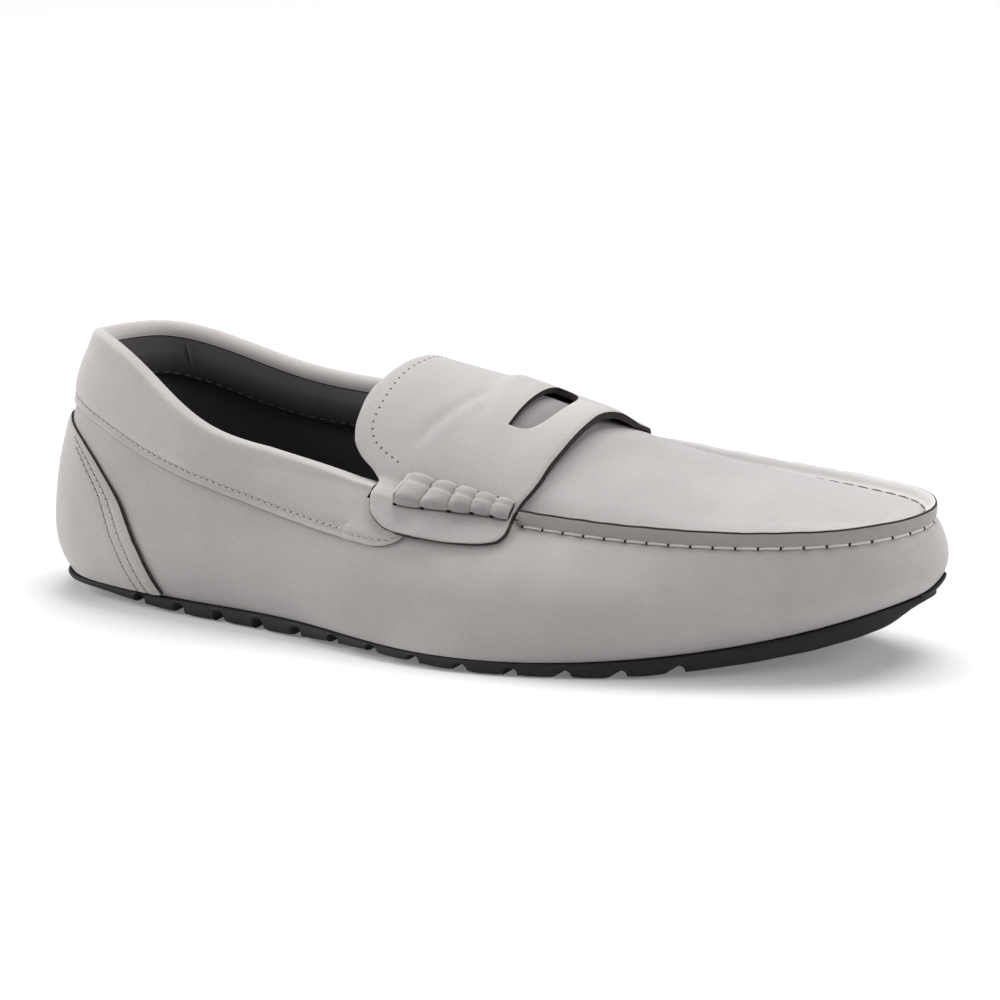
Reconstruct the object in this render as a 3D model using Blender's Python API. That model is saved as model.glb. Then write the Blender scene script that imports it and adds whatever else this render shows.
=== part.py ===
"""Driving moccasin, right shoe, at its real size in metres.

X runs from the heel to the toe, +Y is the medial side (the side of the other foot), +Z is up.
One form function gives the outside of the last. Every piece follows it at its own clearance.
"""
import math

import bmesh
import bpy
import numpy as np

# Driving sizes of the last
LENGTH = 0.2785          # heel to toe over the widest line of the upper
BALL_WIDTH = 0.098       # width over the ball of the last
HEEL_HEIGHT = 0.074      # top edge of the upper at the back seam
WIDEST_HEIGHT = 0.021    # height of the widest line at the heel
SEAM_HEIGHT = 0.040      # raised seam around the toe
CROWN = 0.026            # rise of the instep above the seam beside the strap
WALL = 0.0020            # leather and lining together
MARGIN = 0.012           # upper turned in under the foot
CLEARANCE = 0.0003       # between neighbouring pieces
SEAT = 0.00045           # under a curved overlay
RIDGE_RISE = 0.0046      # raised seam above its stitch line
RIDGE_WIDTH = 0.0030     # raised seam, across
COLLAR_LEATHER = 0.0022
COLLAR_ROLL = 0.0038
COLLAR_PAD = 0.0036
COLLAR_DEPTH = 0.012
COUNTER_LEATHER = 0.0012
SADDLE_LEATHER = 0.0016
FLAP_LEATHER = 0.0010
INSOLE_THICK = 0.0030
SOLE_OUTSET = 0.0010
GUARD_THICK = 0.0010
LIP_THICK = 0.0009        # lip of the sole at the toe
LUG_PITCH = 0.015
LUG_GROOVE = 0.0045
LUG_DEPTH = 0.0030
LUG_COUNT = 13
FIRST_GROOVE = 0.0345
ROLL_THICK = 0.0046

# Shares of the length where the pieces change
THROAT = 0.430
COLLAR_END = 0.410
RIDGE_START = 0.5885     # raised seam beside the strap, lateral side
RIDGE_RAMP = 0.0050      # it is at full height after this
RIDGE_LATER = 0.0240     # it starts this much later on the medial side

# Sections of the last. Half widths are shares of BALL_WIDTH, lateral side first.
# share, feather lateral, feather medial, feather height (share of HEEL_HEIGHT),
# widest lateral, widest medial, widest height (share of WIDEST_HEIGHT),
# top lateral, top medial, rise of the top edge above SEAM_HEIGHT on each side (share of the way
# up to HEEL_HEIGHT), crown (share of CROWN)
SECTION_COLUMNS = ("share", "feather_l", "feather_m", "feather_z", "widest_l", "widest_m",
                   "widest_z", "top_l", "top_m", "rise_l", "rise_m", "crown")
SECTIONS = (
    (0.00, 0.000, 0.000, 0.080, 0.000, 0.000, 1.00, 0.000, 0.000, 1.010, 1.010, 0.30),
    (0.03, 0.178, 0.178, 0.078, 0.219, 0.217, 1.00, 0.156, 0.184, 1.055, 0.968, 0.55),
    (0.10, 0.256, 0.254, 0.071, 0.304, 0.296, 1.05, 0.250, 0.258, 0.860, 0.845, 0.77),
    (0.20, 0.305, 0.298, 0.067, 0.366, 0.343, 1.05, 0.332, 0.318, 0.468, 0.590, 1.00),
    (0.35, 0.388, 0.292, 0.071, 0.425, 0.362, 1.05, 0.338, 0.345, 0.270, 0.465, 0.93),
    (0.50, 0.502, 0.325, 0.058, 0.480, 0.400, 1.00, 0.354, 0.368, 0.087, 0.298, 0.87),
    (0.65, 0.475, 0.388, 0.058, 0.490, 0.455, 0.95, 0.362, 0.366, -0.006, 0.158, 0.60),
    (0.80, 0.326, 0.388, 0.102, 0.402, 0.432, 1.02, 0.320, 0.344, -0.034, 0.080, 0.30),
    (0.90, 0.182, 0.325, 0.168, 0.280, 0.367, 1.16, 0.236, 0.288, -0.026, 0.064, 0.18),
    (0.97, 0.050, 0.258, 0.240, 0.145, 0.280, 1.35, 0.128, 0.213, 0.010, 0.056, 0.07),
    (1.00, -0.122, 0.122, 0.273, -0.094, 0.094, 1.43, -0.072, 0.072, 0.024, 0.024, 0.00),
)
# Where each ring starts and ends along X, as shares of LENGTH
FEATHER_SPAN = (0.010, 0.984)
WIDEST_SPAN = (-0.004, 1.003)
TOP_SPAN = (0.045, 0.995)

# Underside of the sole above the floor: share of the length, share of HEEL_HEIGHT
SOLE_COLUMNS = ("share", "rise")
SOLE_LINE = (
    (0.00, 0.060), (0.03, 0.055), (0.07, 0.043), (0.10, 0.030), (0.14, 0.014), (0.18, 0.004),
    (0.21, 0.000), (0.31, 0.000), (0.35, 0.006), (0.39, 0.018), (0.44, 0.024), (0.49, 0.017),
    (0.54, 0.006), (0.58, 0.000), (0.71, 0.000), (0.75, 0.010), (0.80, 0.031), (0.85, 0.058),
    (0.90, 0.095), (0.94, 0.138), (0.97, 0.180), (1.00, 0.222),
)
# Saddle outline: w counts up the lateral wall to 1, over the instep to 2, down the medial wall
SADDLE_COLUMNS = ("w", "back", "front")
SADDLE_OUTLINE = (
    (0.771, 0.470, 0.492), (0.779, 0.459, 0.512), (0.796, 0.449, 0.536), (0.817, 0.441, 0.560),
    (0.845, 0.433, 0.577), (0.890, 0.426, 0.585), (0.945, 0.420, 0.586), (1.000, 0.417, 0.584),
    (1.030, 0.416, 0.584), (1.055, 0.407, 0.586), (1.075, 0.391, 0.589), (1.100, 0.379, 0.594),
    (1.135, 0.373, 0.599), (1.200, 0.371, 0.604), (1.275, 0.373, 0.610), (1.350, 0.380, 0.614),
    (1.425, 0.386, 0.617), (1.500, 0.391, 0.619), (1.575, 0.394, 0.624), (1.650, 0.394, 0.631),
    (1.725, 0.390, 0.638), (1.800, 0.384, 0.640), (1.865, 0.379, 0.631), (1.900, 0.384, 0.619),
    (1.925, 0.394, 0.611), (1.945, 0.407, 0.608), (1.970, 0.415, 0.607), (2.000, 0.418, 0.607),
    (2.055, 0.421, 0.608), (2.110, 0.426, 0.606), (2.155, 0.434, 0.599), (2.185, 0.443, 0.586),
    (2.204, 0.452, 0.571), (2.221, 0.463, 0.549), (2.229, 0.476, 0.527),
)
# Half-moon slot in the strap: straight back edge, bowed front edge
SLOT_BACK = 0.539
SLOT_FRONT = 0.580
SLOT_LEFT = 1.302
SLOT_RIGHT = 1.700
# Stitched bulges of the roll: each row is a crease, w from its lower to its upper hole
ROLL_COLUMNS = ("share", "w_low", "w_high")
ROLL_CREASES = (
    (0.4545, 0.917, 1.078), (0.4865, 0.935, 1.078), (0.5148, 0.963, 1.079),
    (0.5395, 0.984, 1.076), (0.5632, 0.991, 1.073), (0.5830, 0.988, 1.070),
)
# Heel counter: height up the wall, half angle in degrees
COUNTER_COLUMNS = ("v", "half_angle")
COUNTER_EDGE = (
    (0.03, 47.2), (0.13, 46.9), (0.25, 46.2), (0.38, 44.8), (0.48, 42.6), (0.56, 39.8),
    (0.625, 35.4), (0.68, 30.0), (0.725, 22.8), (0.755, 14.5),
)
# Lower edge of the collar band: share of the length, height up the wall
COLLAR_COLUMNS = ("share", "v")
COLLAR_EDGE = (
    (0.00, 0.805), (0.030, 0.796), (0.056, 0.784), (0.097, 0.772), (0.135, 0.772), (0.181, 0.780),
    (0.225, 0.777), (0.273, 0.751), (0.324, 0.709), (0.374, 0.676), (0.410, 0.664), (0.45, 0.662),
)
# Front flap of the collar band that runs under the saddle's side tab
FLAP_COLUMNS = ("share", "v_low", "v_high")
FLAP_OUTLINE = (
    (0.392, 0.671, 0.930), (0.410, 0.664, 0.930), (0.430, 0.662, 0.930), (0.450, 0.667, 0.930),
    (0.463, 0.692, 0.930), (0.473, 0.735, 0.930), (0.479, 0.785, 0.920),
)


def angle_of(share):
    return np.arccos(1.0 - 2.0 * np.clip(share, 0.0, 1.0))


def share_of(theta):
    return (1.0 - np.cos(theta)) / 2.0


def closed_spline(knots, values):
    """Periodic cubic through the section rows, one turn around the last."""
    count = len(knots)
    turn = 2.0 * math.pi
    ends = np.append(knots, knots[0] + turn)
    gaps = np.diff(ends)
    matrix = np.zeros((count, count))
    right = np.zeros(count)
    for i in range(count):
        before = gaps[i - 1]
        after = gaps[i]
        nxt = (i + 1) % count
        matrix[i, i - 1] += before
        matrix[i, i] += 2.0 * (before + after)
        matrix[i, nxt] += after
        right[i] = 6.0 * ((values[nxt] - values[i]) / after - (values[i] - values[i - 1]) / before)
    bend = np.linalg.solve(matrix, right)

    def value(theta):
        q = np.mod(np.asarray(theta, float) - knots[0], turn) + knots[0]
        i = np.clip(np.searchsorted(knots, q, side="right") - 1, 0, count - 1)
        j = (i + 1) % count
        a = (ends[i + 1] - q) / gaps[i]
        b = 1.0 - a
        curve = ((a ** 3 - a) * bend[i] + (b ** 3 - b) * bend[j]) * gaps[i] ** 2 / 6.0
        return a * values[i] + b * values[j] + curve

    return value


def column(name):
    return np.array([row[SECTION_COLUMNS.index(name)] for row in SECTIONS])


def around(lateral, medial):
    half = angle_of(column("share"))
    knots = np.concatenate([half, 2.0 * math.pi - half[-2:0:-1]])
    return closed_spline(knots, np.concatenate([lateral, medial[-2:0:-1]]))


def top_height(rise):
    return SEAM_HEIGHT + rise * (HEEL_HEIGHT - SEAM_HEIGHT)


RING_Y = {
    "feather": around(-column("feather_l") * BALL_WIDTH, column("feather_m") * BALL_WIDTH),
    "widest": around(-column("widest_l") * BALL_WIDTH, column("widest_m") * BALL_WIDTH),
    "top": around(-column("top_l") * BALL_WIDTH, column("top_m") * BALL_WIDTH),
}
RING_Z = {
    "feather": around(column("feather_z") * HEEL_HEIGHT, column("feather_z") * HEEL_HEIGHT),
    "widest": around(column("widest_z") * WIDEST_HEIGHT, column("widest_z") * WIDEST_HEIGHT),
    "top": around(top_height(column("rise_l")), top_height(column("rise_m"))),
}
RING_SPAN = {"feather": FEATHER_SPAN, "widest": WIDEST_SPAN, "top": TOP_SPAN}
CROWN_AT = around(column("crown") * CROWN, column("crown") * CROWN)


def ring(name, theta):
    theta = np.asarray(theta, float)
    first, last = RING_SPAN[name]
    x = LENGTH * (first + (last - first) * share_of(theta))
    return np.stack([x, RING_Y[name](theta), RING_Z[name](theta)], -1)


def ring_out(name, theta):
    """Unit vector out of a ring, level with the floor."""
    step = 0.002
    run = ring(name, theta + step) - ring(name, theta - step)
    out = np.stack([run[..., 1], -run[..., 0], np.zeros_like(run[..., 0])], -1)
    return out / np.linalg.norm(out, axis=-1, keepdims=True)


def floor_height(x):
    """Height of the sole's upper face at a place along the shoe."""
    first, last = FEATHER_SPAN
    share = (np.asarray(x) / LENGTH - first) / (last - first)
    return RING_Z["feather"](angle_of(share))


def sole_rise(x):
    share = np.clip(np.asarray(x) / LENGTH, 0.0, 1.0)
    table = np.array(SOLE_LINE)
    return np.interp(share, table[:, 0], table[:, 1]) * HEEL_HEIGHT


def wall(theta, v):
    """Outside of the upper: v is 0 at the feather edge, 0.4 at the widest line, 1 at the top."""
    theta, v = np.broadcast_arrays(np.asarray(theta, float), np.asarray(v, float))
    foot, wide, top = ring("feather", theta), ring("widest", theta), ring("top", theta)
    low = np.clip(v / 0.4, 0.0, 1.0)[..., None]
    high = np.clip((v - 0.4) / 0.6, 0.0, 1.0)[..., None]
    point = foot + (wide - foot) * low + (top - wide) * high
    swell = 1.0 - (1.0 - low) ** 2.2
    level = foot + (wide - foot) * swell + (top - wide) * high ** 1.7
    point[..., :2] = level[..., :2]
    return point


def ridge_share(theta):
    """0 beside the strap, 1 where the raised seam shows."""
    later = np.where(np.sin(theta) < 0.0, RIDGE_LATER, 0.0)
    t = np.clip((share_of(theta) - RIDGE_START - later) / RIDGE_RAMP, 0.0, 1.0)
    return t * t * (3.0 - 2.0 * t)


def foot_lift(theta):
    """Rise of the vamp over the width of the seam, a little less at the toe."""
    t = np.clip((share_of(theta) - 0.56) / 0.16, 0.0, 1.0)
    return 0.0024 - 0.0003 * t * t * (3.0 - 2.0 * t)


def seam_foot(theta):
    """Foot of the raised seam on its inner side, where the plug begins."""
    point = ring("top", theta) - ring_out("top", theta) * RIDGE_WIDTH
    point[..., 2] += foot_lift(theta)
    return point


def plug(theta, u):
    """Top of the vamp between the two seams, with the crown of the instep."""
    theta, u = np.broadcast_arrays(np.asarray(theta, float), np.asarray(u, float))
    one = seam_foot(theta)
    two = seam_foot(2.0 * math.pi - theta)
    point = one + (two - one) * u[..., None]
    arch = np.clip(1.0 - (2.0 * u - 1.0) ** 2, 0.0, 1.0) ** 0.9
    crown = CROWN_AT(theta) - foot_lift(theta)
    point[..., 2] += np.maximum(crown, 0.0) * arch
    return point


SHELF = 0.05


def cover(share, w):
    """Outside of the whole upper across one section, from the lateral feather to the medial."""
    share, w = np.broadcast_arrays(np.asarray(share, float), np.asarray(w, float))
    theta = angle_of(share)
    back = 2.0 * math.pi - theta
    t = ((w - 1.0 - SHELF) / (1.0 - 2.0 * SHELF))[..., None]
    top = plug(theta, np.clip(t[..., 0], 0.0, 1.0))
    near = np.clip((w - 1.0) / SHELF, 0.0, 1.0)[..., None]
    far = np.clip((2.0 - w) / SHELF, 0.0, 1.0)[..., None]
    near_edge = ring("top", theta) * (1.0 - near) + seam_foot(theta) * near
    far_edge = ring("top", back) * (1.0 - far) + seam_foot(back) * far
    point = np.where(w[..., None] <= 1.0 + SHELF, near_edge, top)
    point = np.where(w[..., None] >= 2.0 - SHELF, far_edge, point)
    point = np.where(w[..., None] <= 1.0, wall(theta, np.clip(w, 0.0, 1.0)), point)
    return np.where(w[..., None] >= 2.0, wall(back, np.clip(3.0 - w, 0.0, 1.0)), point)


def cover_out(share, w):
    """Unit vector out of the cover."""
    along = cover(share + 0.004, w) - cover(share - 0.004, w)
    across = cover(share, w + 0.03) - cover(share, w - 0.03)
    out = np.cross(along, across)
    return out / np.linalg.norm(out, axis=-1, keepdims=True)


def wall_out(theta, v):
    """Unit vector out of the wall."""
    v = np.clip(v, 0.0, 1.0)
    along = wall(theta + 0.01, v) - wall(theta - 0.01, v)
    up = wall(theta, np.clip(v + 0.02, 0.0, 1.0)) - wall(theta, np.clip(v - 0.02, 0.0, 1.0))
    out = np.cross(along, up)
    return out / np.linalg.norm(out, axis=-1, keepdims=True)


class Shell:
    """Points and faces of one closed solid."""

    def __init__(self):
        self.points = []
        self.faces = []

    def add(self, rows):
        rows = np.asarray(rows, float).reshape(-1, 3)
        start = len(self.points)
        self.points.extend(rows.tolist())
        return list(range(start, start + len(rows)))

    def strip(self, one, two, closed=False):
        count = len(one)
        last = count if closed else count - 1
        for i in range(last):
            j = (i + 1) % count
            self.face((one[i], one[j], two[j], two[i]))

    def face(self, corners):
        kept = []
        for corner in corners:
            if corner not in kept:
                kept.append(corner)
        if len(kept) > 2:
            self.faces.append(kept)

    def fan_plate(self, loop, half, inner_points):
        """Fill a loop by lines between the two sides at the same place along the shoe."""
        count = len(loop)
        rows = [[loop[0]]]
        for k in range(1, half):
            middle = self.add(inner_points[k])
            rows.append([loop[k]] + middle + [loop[count - k]])
        rows.append([loop[half]])
        for one, two in zip(rows[:-1], rows[1:]):
            if len(one) == 1:
                for a, b in zip(two[:-1], two[1:]):
                    self.face((one[0], a, b))
            elif len(two) == 1:
                for a, b in zip(one[:-1], one[1:]):
                    self.face((two[0], b, a))
            else:
                self.strip(one, two)


def make_object(name, shell, colour, roughness):
    mesh = bpy.data.meshes.new(name)
    mesh.from_pydata(shell.points, [], shell.faces)
    work = bmesh.new()
    work.from_mesh(mesh)
    bmesh.ops.recalc_face_normals(work, faces=work.faces)
    if work.calc_volume(signed=True) < 0.0:
        bmesh.ops.reverse_faces(work, faces=work.faces)
    work.to_mesh(mesh)
    work.free()
    mesh.shade_smooth()
    mesh.set_sharp_from_angle(angle=math.radians(38.0))
    thing = bpy.data.objects.new(name, mesh)
    bpy.context.scene.collection.objects.link(thing)
    if colour is not None:
        material = bpy.data.materials.new(name)
        material.use_nodes = True
        shader = material.node_tree.nodes["Principled BSDF"]
        shader.inputs["Base Color"].default_value = (*colour, 1.0)
        shader.inputs["Roughness"].default_value = roughness
        shader.inputs["Metallic"].default_value = 0.0
        mesh.materials.append(material)
    return thing


def join_or_cut(thing, tool, operation):
    tool.hide_render = True
    tool.display_type = "WIRE"
    step = thing.modifiers.new(tool.name, "BOOLEAN")
    step.operation = operation
    step.solver = "EXACT"
    step.object = tool


# Columns around the last: collar part, then the vamp part, then the other side
BACK_STEPS = 20
FRONT_STEPS = 27
THROAT_ANGLE = float(angle_of(THROAT))
# the raised seam starts in one step at two places, so both have columns of their own
RAMP_ANGLES = angle_of(np.array([RIDGE_START, RIDGE_START + RIDGE_RAMP, RIDGE_START + RIDGE_LATER,
                                 RIDGE_START + RIDGE_LATER + RIDGE_RAMP]))
BESIDE_STEPS = 5
half_turn = np.concatenate([
    np.linspace(0.0, THROAT_ANGLE, BACK_STEPS + 1),
    np.linspace(THROAT_ANGLE, RAMP_ANGLES[0], BESIDE_STEPS + 1)[1:],
    RAMP_ANGLES[1:],
    np.linspace(RAMP_ANGLES[-1], math.pi, FRONT_STEPS - BESIDE_STEPS - 2)[1:],
])
COLUMNS = np.concatenate([half_turn, 2.0 * math.pi - half_turn[-2:0:-1]])
HALF = len(half_turn) - 1
COUNT = len(COLUMNS)


def build_upper():
    """One hollow shell: turned-in margin, wall, raised seam and plug."""
    shell = Shell()
    theta = COLUMNS
    foot = ring("feather", theta)
    out = ring_out("feather", theta)
    margin = foot - out * MARGIN
    margin[:, 2] = floor_height(margin[:, 0])
    heights = (0.09, 0.22, 0.40, 0.62, 0.82, 1.0)
    outer = [margin, foot] + [wall(theta, v) for v in heights]
    inner = [margin + np.array([0.0, 0.0, WALL])]
    corner = foot - out * WALL * 1.1
    corner[:, 2] = floor_height(corner[:, 0]) + WALL
    inner.append(corner)
    for v in heights:
        inner.append(wall(theta, v) - wall_out(theta, v) * WALL)
    low = inner[2]
    low[:, 2] = np.maximum(low[:, 2], corner[:, 2] + 0.0006)
    loops_out = [shell.add(rows) for rows in outer]
    loops_in = [shell.add(rows) for rows in inner]
    for k in range(len(loops_out) - 1):
        shell.strip(loops_out[k], loops_out[k + 1], closed=True)
        shell.strip(loops_in[k + 1], loops_in[k], closed=True)
    shell.strip(loops_in[0], loops_out[0], closed=True)
    # collar edge, open from one side of the throat around the heel to the other
    front = list(range(BACK_STEPS, COUNT - BACK_STEPS + 1))
    back = list(range(COUNT - BACK_STEPS, COUNT)) + list(range(0, BACK_STEPS + 1))
    shell.strip([loops_out[-1][i] for i in back], [loops_in[-1][i] for i in back])
    # raised seam
    t = theta[front]
    top = ring("top", t)
    way = ring_out("top", t)
    rise = ridge_share(t)[:, None]
    up = np.array([0.0, 0.0, 1.0])
    end = seam_foot(t)
    flat_one = top + (end - top) * 0.30
    flat_two = top + (end - top) * 0.65
    crest_one = flat_one * (1.0 - rise) + (top + way * 0.0004 + up * RIDGE_RISE) * rise
    crest_two = flat_two * (1.0 - rise) + (top - way * 0.0016 + up * RIDGE_RISE) * rise
    under_top = inner[-1][front]
    under_end = end - up * WALL - way * 0.0004
    seam_out = [[loops_out[-1][i] for i in front], shell.add(crest_one), shell.add(crest_two),
                shell.add(end)]
    seam_in = [[loops_in[-1][i] for i in front],
               shell.add(under_top + (under_end - under_top) * 0.33),
               shell.add(under_top + (under_end - under_top) * 0.67),
               shell.add(under_end)]
    for k in range(3):
        shell.strip(seam_out[k], seam_out[k + 1])
        shell.strip(seam_in[k + 1], seam_in[k])
    # plug, in lines from the lateral to the medial seam
    shares = np.linspace(0.0, 1.0, 13)[1:-1]
    many = len(front)
    mid = (many - 1) // 2
    rows_out = []
    rows_in = []
    for k in range(mid):
        angle = t[k]
        top_line = plug(angle, shares)
        left = end[k]
        right = end[many - 1 - k]
        left_in = under_end[k]
        right_in = under_end[many - 1 - k]
        # the lining side keeps the wall's thickness below the plug
        drop = (top_line[:, 2] - (left[2] + (right[2] - left[2]) * shares))
        low_line = left_in + (right_in - left_in) * shares[:, None]
        low_line[:, 2] += np.maximum(drop - 0.0004 * np.sin(shares * math.pi), 0.0)
        rows_out.append([seam_out[3][k]] + shell.add(top_line) + [seam_out[3][many - 1 - k]])
        rows_in.append([seam_in[3][k]] + shell.add(low_line) + [seam_in[3][many - 1 - k]])
    for rows in (rows_out, rows_in):
        for one, two in zip(rows[:-1], rows[1:]):
            shell.strip(one, two)
        tip = seam_out[3][mid] if rows is rows_out else seam_in[3][mid]
        for a, b in zip(rows[-1][:-1], rows[-1][1:]):
            shell.face((a, b, tip))
    # throat edge
    edge_out = [row[0] for row in seam_out] + rows_out[0][1:-1] + [row[-1] for row in seam_out[::-1]]
    edge_in = [row[0] for row in seam_in] + rows_in[0][1:-1] + [row[-1] for row in seam_in[::-1]]
    shell.strip(edge_out, edge_in)
    return shell


def sole_columns():
    """Places along the shoe: each groove has a sloped wall on both sides."""
    places = []
    slope = 0.0005
    for k in range(LUG_COUNT):
        start = FIRST_GROOVE + k * LUG_PITCH
        places += [(start - slope, 0.0), (start + slope, 1.0)]
        places += [(start + LUG_GROOVE - slope, 1.0), (start + LUG_GROOVE + slope, 0.0)]
        places += [(start + LUG_GROOVE + (LUG_PITCH - LUG_GROOVE) / 2.0, 0.0)]
    first, last = FEATHER_SPAN
    spots = []
    for x, depth in places:
        spots.append((float(angle_of((x / LENGTH - first) / (last - first))), depth))
    begin = spots[0][0]
    finish = spots[-1][0]
    head = [(begin * k / 7.0, 0.0) for k in range(7)]
    tail = [(finish + (math.pi - finish) * k / 9.0, 0.0) for k in range(1, 10)]
    return head + spots + tail


def build_outsole():
    shell = Shell()
    spots = sole_columns()
    half = len(spots) - 1
    angles = np.array([spot[0] for spot in spots])
    depth = np.array([spot[1] for spot in spots])
    theta = np.concatenate([angles, 2.0 * math.pi - angles[-2:0:-1]])
    depth = np.concatenate([depth, depth[-2:0:-1]])
    foot = ring("feather", theta)
    out = ring_out("feather", theta)
    turn = np.minimum(theta, 2.0 * math.pi - theta)
    behind = np.clip((math.radians(34.0) - turn) / math.radians(16.0), 0.0, 1.0)[:, None]
    outset = SOLE_OUTSET + (GUARD_THICK + COUNTER_LEATHER) * behind
    upper_edge = foot + out * outset
    upper_edge[:, 2] = floor_height(foot[:, 0]) - CLEARANCE
    under = sole_rise(foot[:, 0])
    # grooves are shallower under the ball than at the heel
    reach = LUG_DEPTH * np.interp(foot[:, 0] / LENGTH, [0.3, 0.5, 0.8], [1.0, 0.75, 0.65])
    side_edge = foot + out * (outset + 0.0003)
    side_edge[:, 2] = under + np.minimum(0.0026, 0.62 * (upper_edge[:, 2] - under))
    side_edge[:, 2] = np.maximum(side_edge[:, 2], under + reach * depth + 0.0005)
    lower_edge = foot + out * (outset - 0.0022)
    lower_edge[:, 2] = under + reach * depth
    top_edge = foot - out * 0.004
    top_edge[:, 2] = floor_height(top_edge[:, 0]) - CLEARANCE
    loops = [shell.add(rows) for rows in (top_edge, upper_edge, side_edge, lower_edge)]
    for one, two in zip(loops[:-1], loops[1:]):
        shell.strip(one, two, closed=True)
    count = len(theta)
    fills = (0.30, 0.70)
    low_rows = {}
    high_rows = {}
    for k in range(1, half):
        one = lower_edge[k]
        two = lower_edge[count - k]
        low_rows[k] = [one + (two - one) * f for f in fills]
        one = top_edge[k]
        two = top_edge[count - k]
        line = np.array([one + (two - one) * 0.5])
        line[:, 2] = floor_height(line[:, 0]) - CLEARANCE
        high_rows[k] = line
    shell.fan_plate(loops[-1], half, low_rows)
    shell.fan_plate(loops[0], half, high_rows)
    return shell


def patch(points_out, points_in):
    """Closed sheet between two grids of the same shape."""
    shell = Shell()
    rows_out = [shell.add(row) for row in points_out]
    rows_in = [shell.add(row) for row in points_in]
    for k in range(len(rows_out) - 1):
        shell.strip(rows_out[k], rows_out[k + 1])
        shell.strip(rows_in[k + 1], rows_in[k])
    shell.strip(rows_in[0], rows_out[0])
    shell.strip(rows_out[-1], rows_in[-1])
    shell.strip([row[0] for row in rows_out], [row[0] for row in rows_in])
    shell.strip([row[-1] for row in rows_in], [row[-1] for row in rows_out])
    return shell


def build_guard():
    """Rubber that runs from the sole up the back of the heel."""
    rows_out = []
    rows_in = []
    base = SEAT * 2.0 + COUNTER_LEATHER
    for v in (-1.0, 0.06, 0.16, 0.26, 0.36, 0.46, 0.54, 0.585):
        width = math.radians(7.0 if v < 0.5 else 6.2 if v < 0.56 else 4.5)
        theta = np.linspace(-width, width, 9)
        if v < 0.0:
            foot = ring("feather", theta)
            way = ring_out("feather", theta)
            foot[:, 2] = floor_height(foot[:, 0]) - 0.0016
            rows_in.append(foot + way * (base - 0.0004))
            rows_out.append(foot + way * (base + GUARD_THICK - 0.0008))
            continue
        point = wall(theta, v)
        way = wall_out(theta, v)
        rows_in.append(point + way * base)
        rows_out.append(point + way * (base + GUARD_THICK))
    return patch(rows_out, rows_in)


def lip_top(theta):
    """How far up the wall the sole's thin lip reaches at the tip of the toe."""
    angle = np.degrees(np.mod(theta, 2.0 * math.pi))
    one = np.clip((angle - 176.0) / 9.0, 0.0, 1.0)
    two = np.clip((216.0 - angle) / 14.0, 0.0, 1.0)
    return 0.02 + 0.145 * one * one * (3.0 - 2.0 * one) * two * two * (3.0 - 2.0 * two)


def build_toe_lip():
    """Rubber lip that the sole turns up at the tip of the toe."""
    theta = np.radians(np.linspace(174.0, 217.0, 12))
    foot = ring("feather", theta)
    way = ring_out("feather", theta)
    foot[:, 2] = floor_height(foot[:, 0]) - 0.0013
    rows_in = [foot + way * 0.0001]
    rows_out = [foot + way * 0.0008]
    for part in (0.0, 0.5, 1.0):
        v = lip_top(theta) * part
        point = wall(theta, v)
        out = wall_out(theta, v)
        thick = LIP_THICK * (1.0 - 0.35 * part)
        rows_in.append(point + out * SEAT)
        rows_out.append(point + out * (SEAT + thick))
    return patch(rows_out, rows_in)


def build_counter():
    rows_out = []
    rows_in = []
    for v, half_angle in COUNTER_EDGE:
        theta = np.radians(np.linspace(-half_angle, half_angle, 23))
        point = wall(theta, v)
        way = wall_out(theta, v)
        rows_in.append(point + way * SEAT)
        rows_out.append(point + way * (SEAT + COUNTER_LEATHER))
    return patch(rows_out, rows_in)


def below_top(theta, depth):
    """Height up the wall of a line that lies a real depth below the top edge."""
    drop = ring("top", theta)[..., 2] - ring("widest", theta)[..., 2]
    return 1.0 - 0.6 * depth / drop


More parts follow.
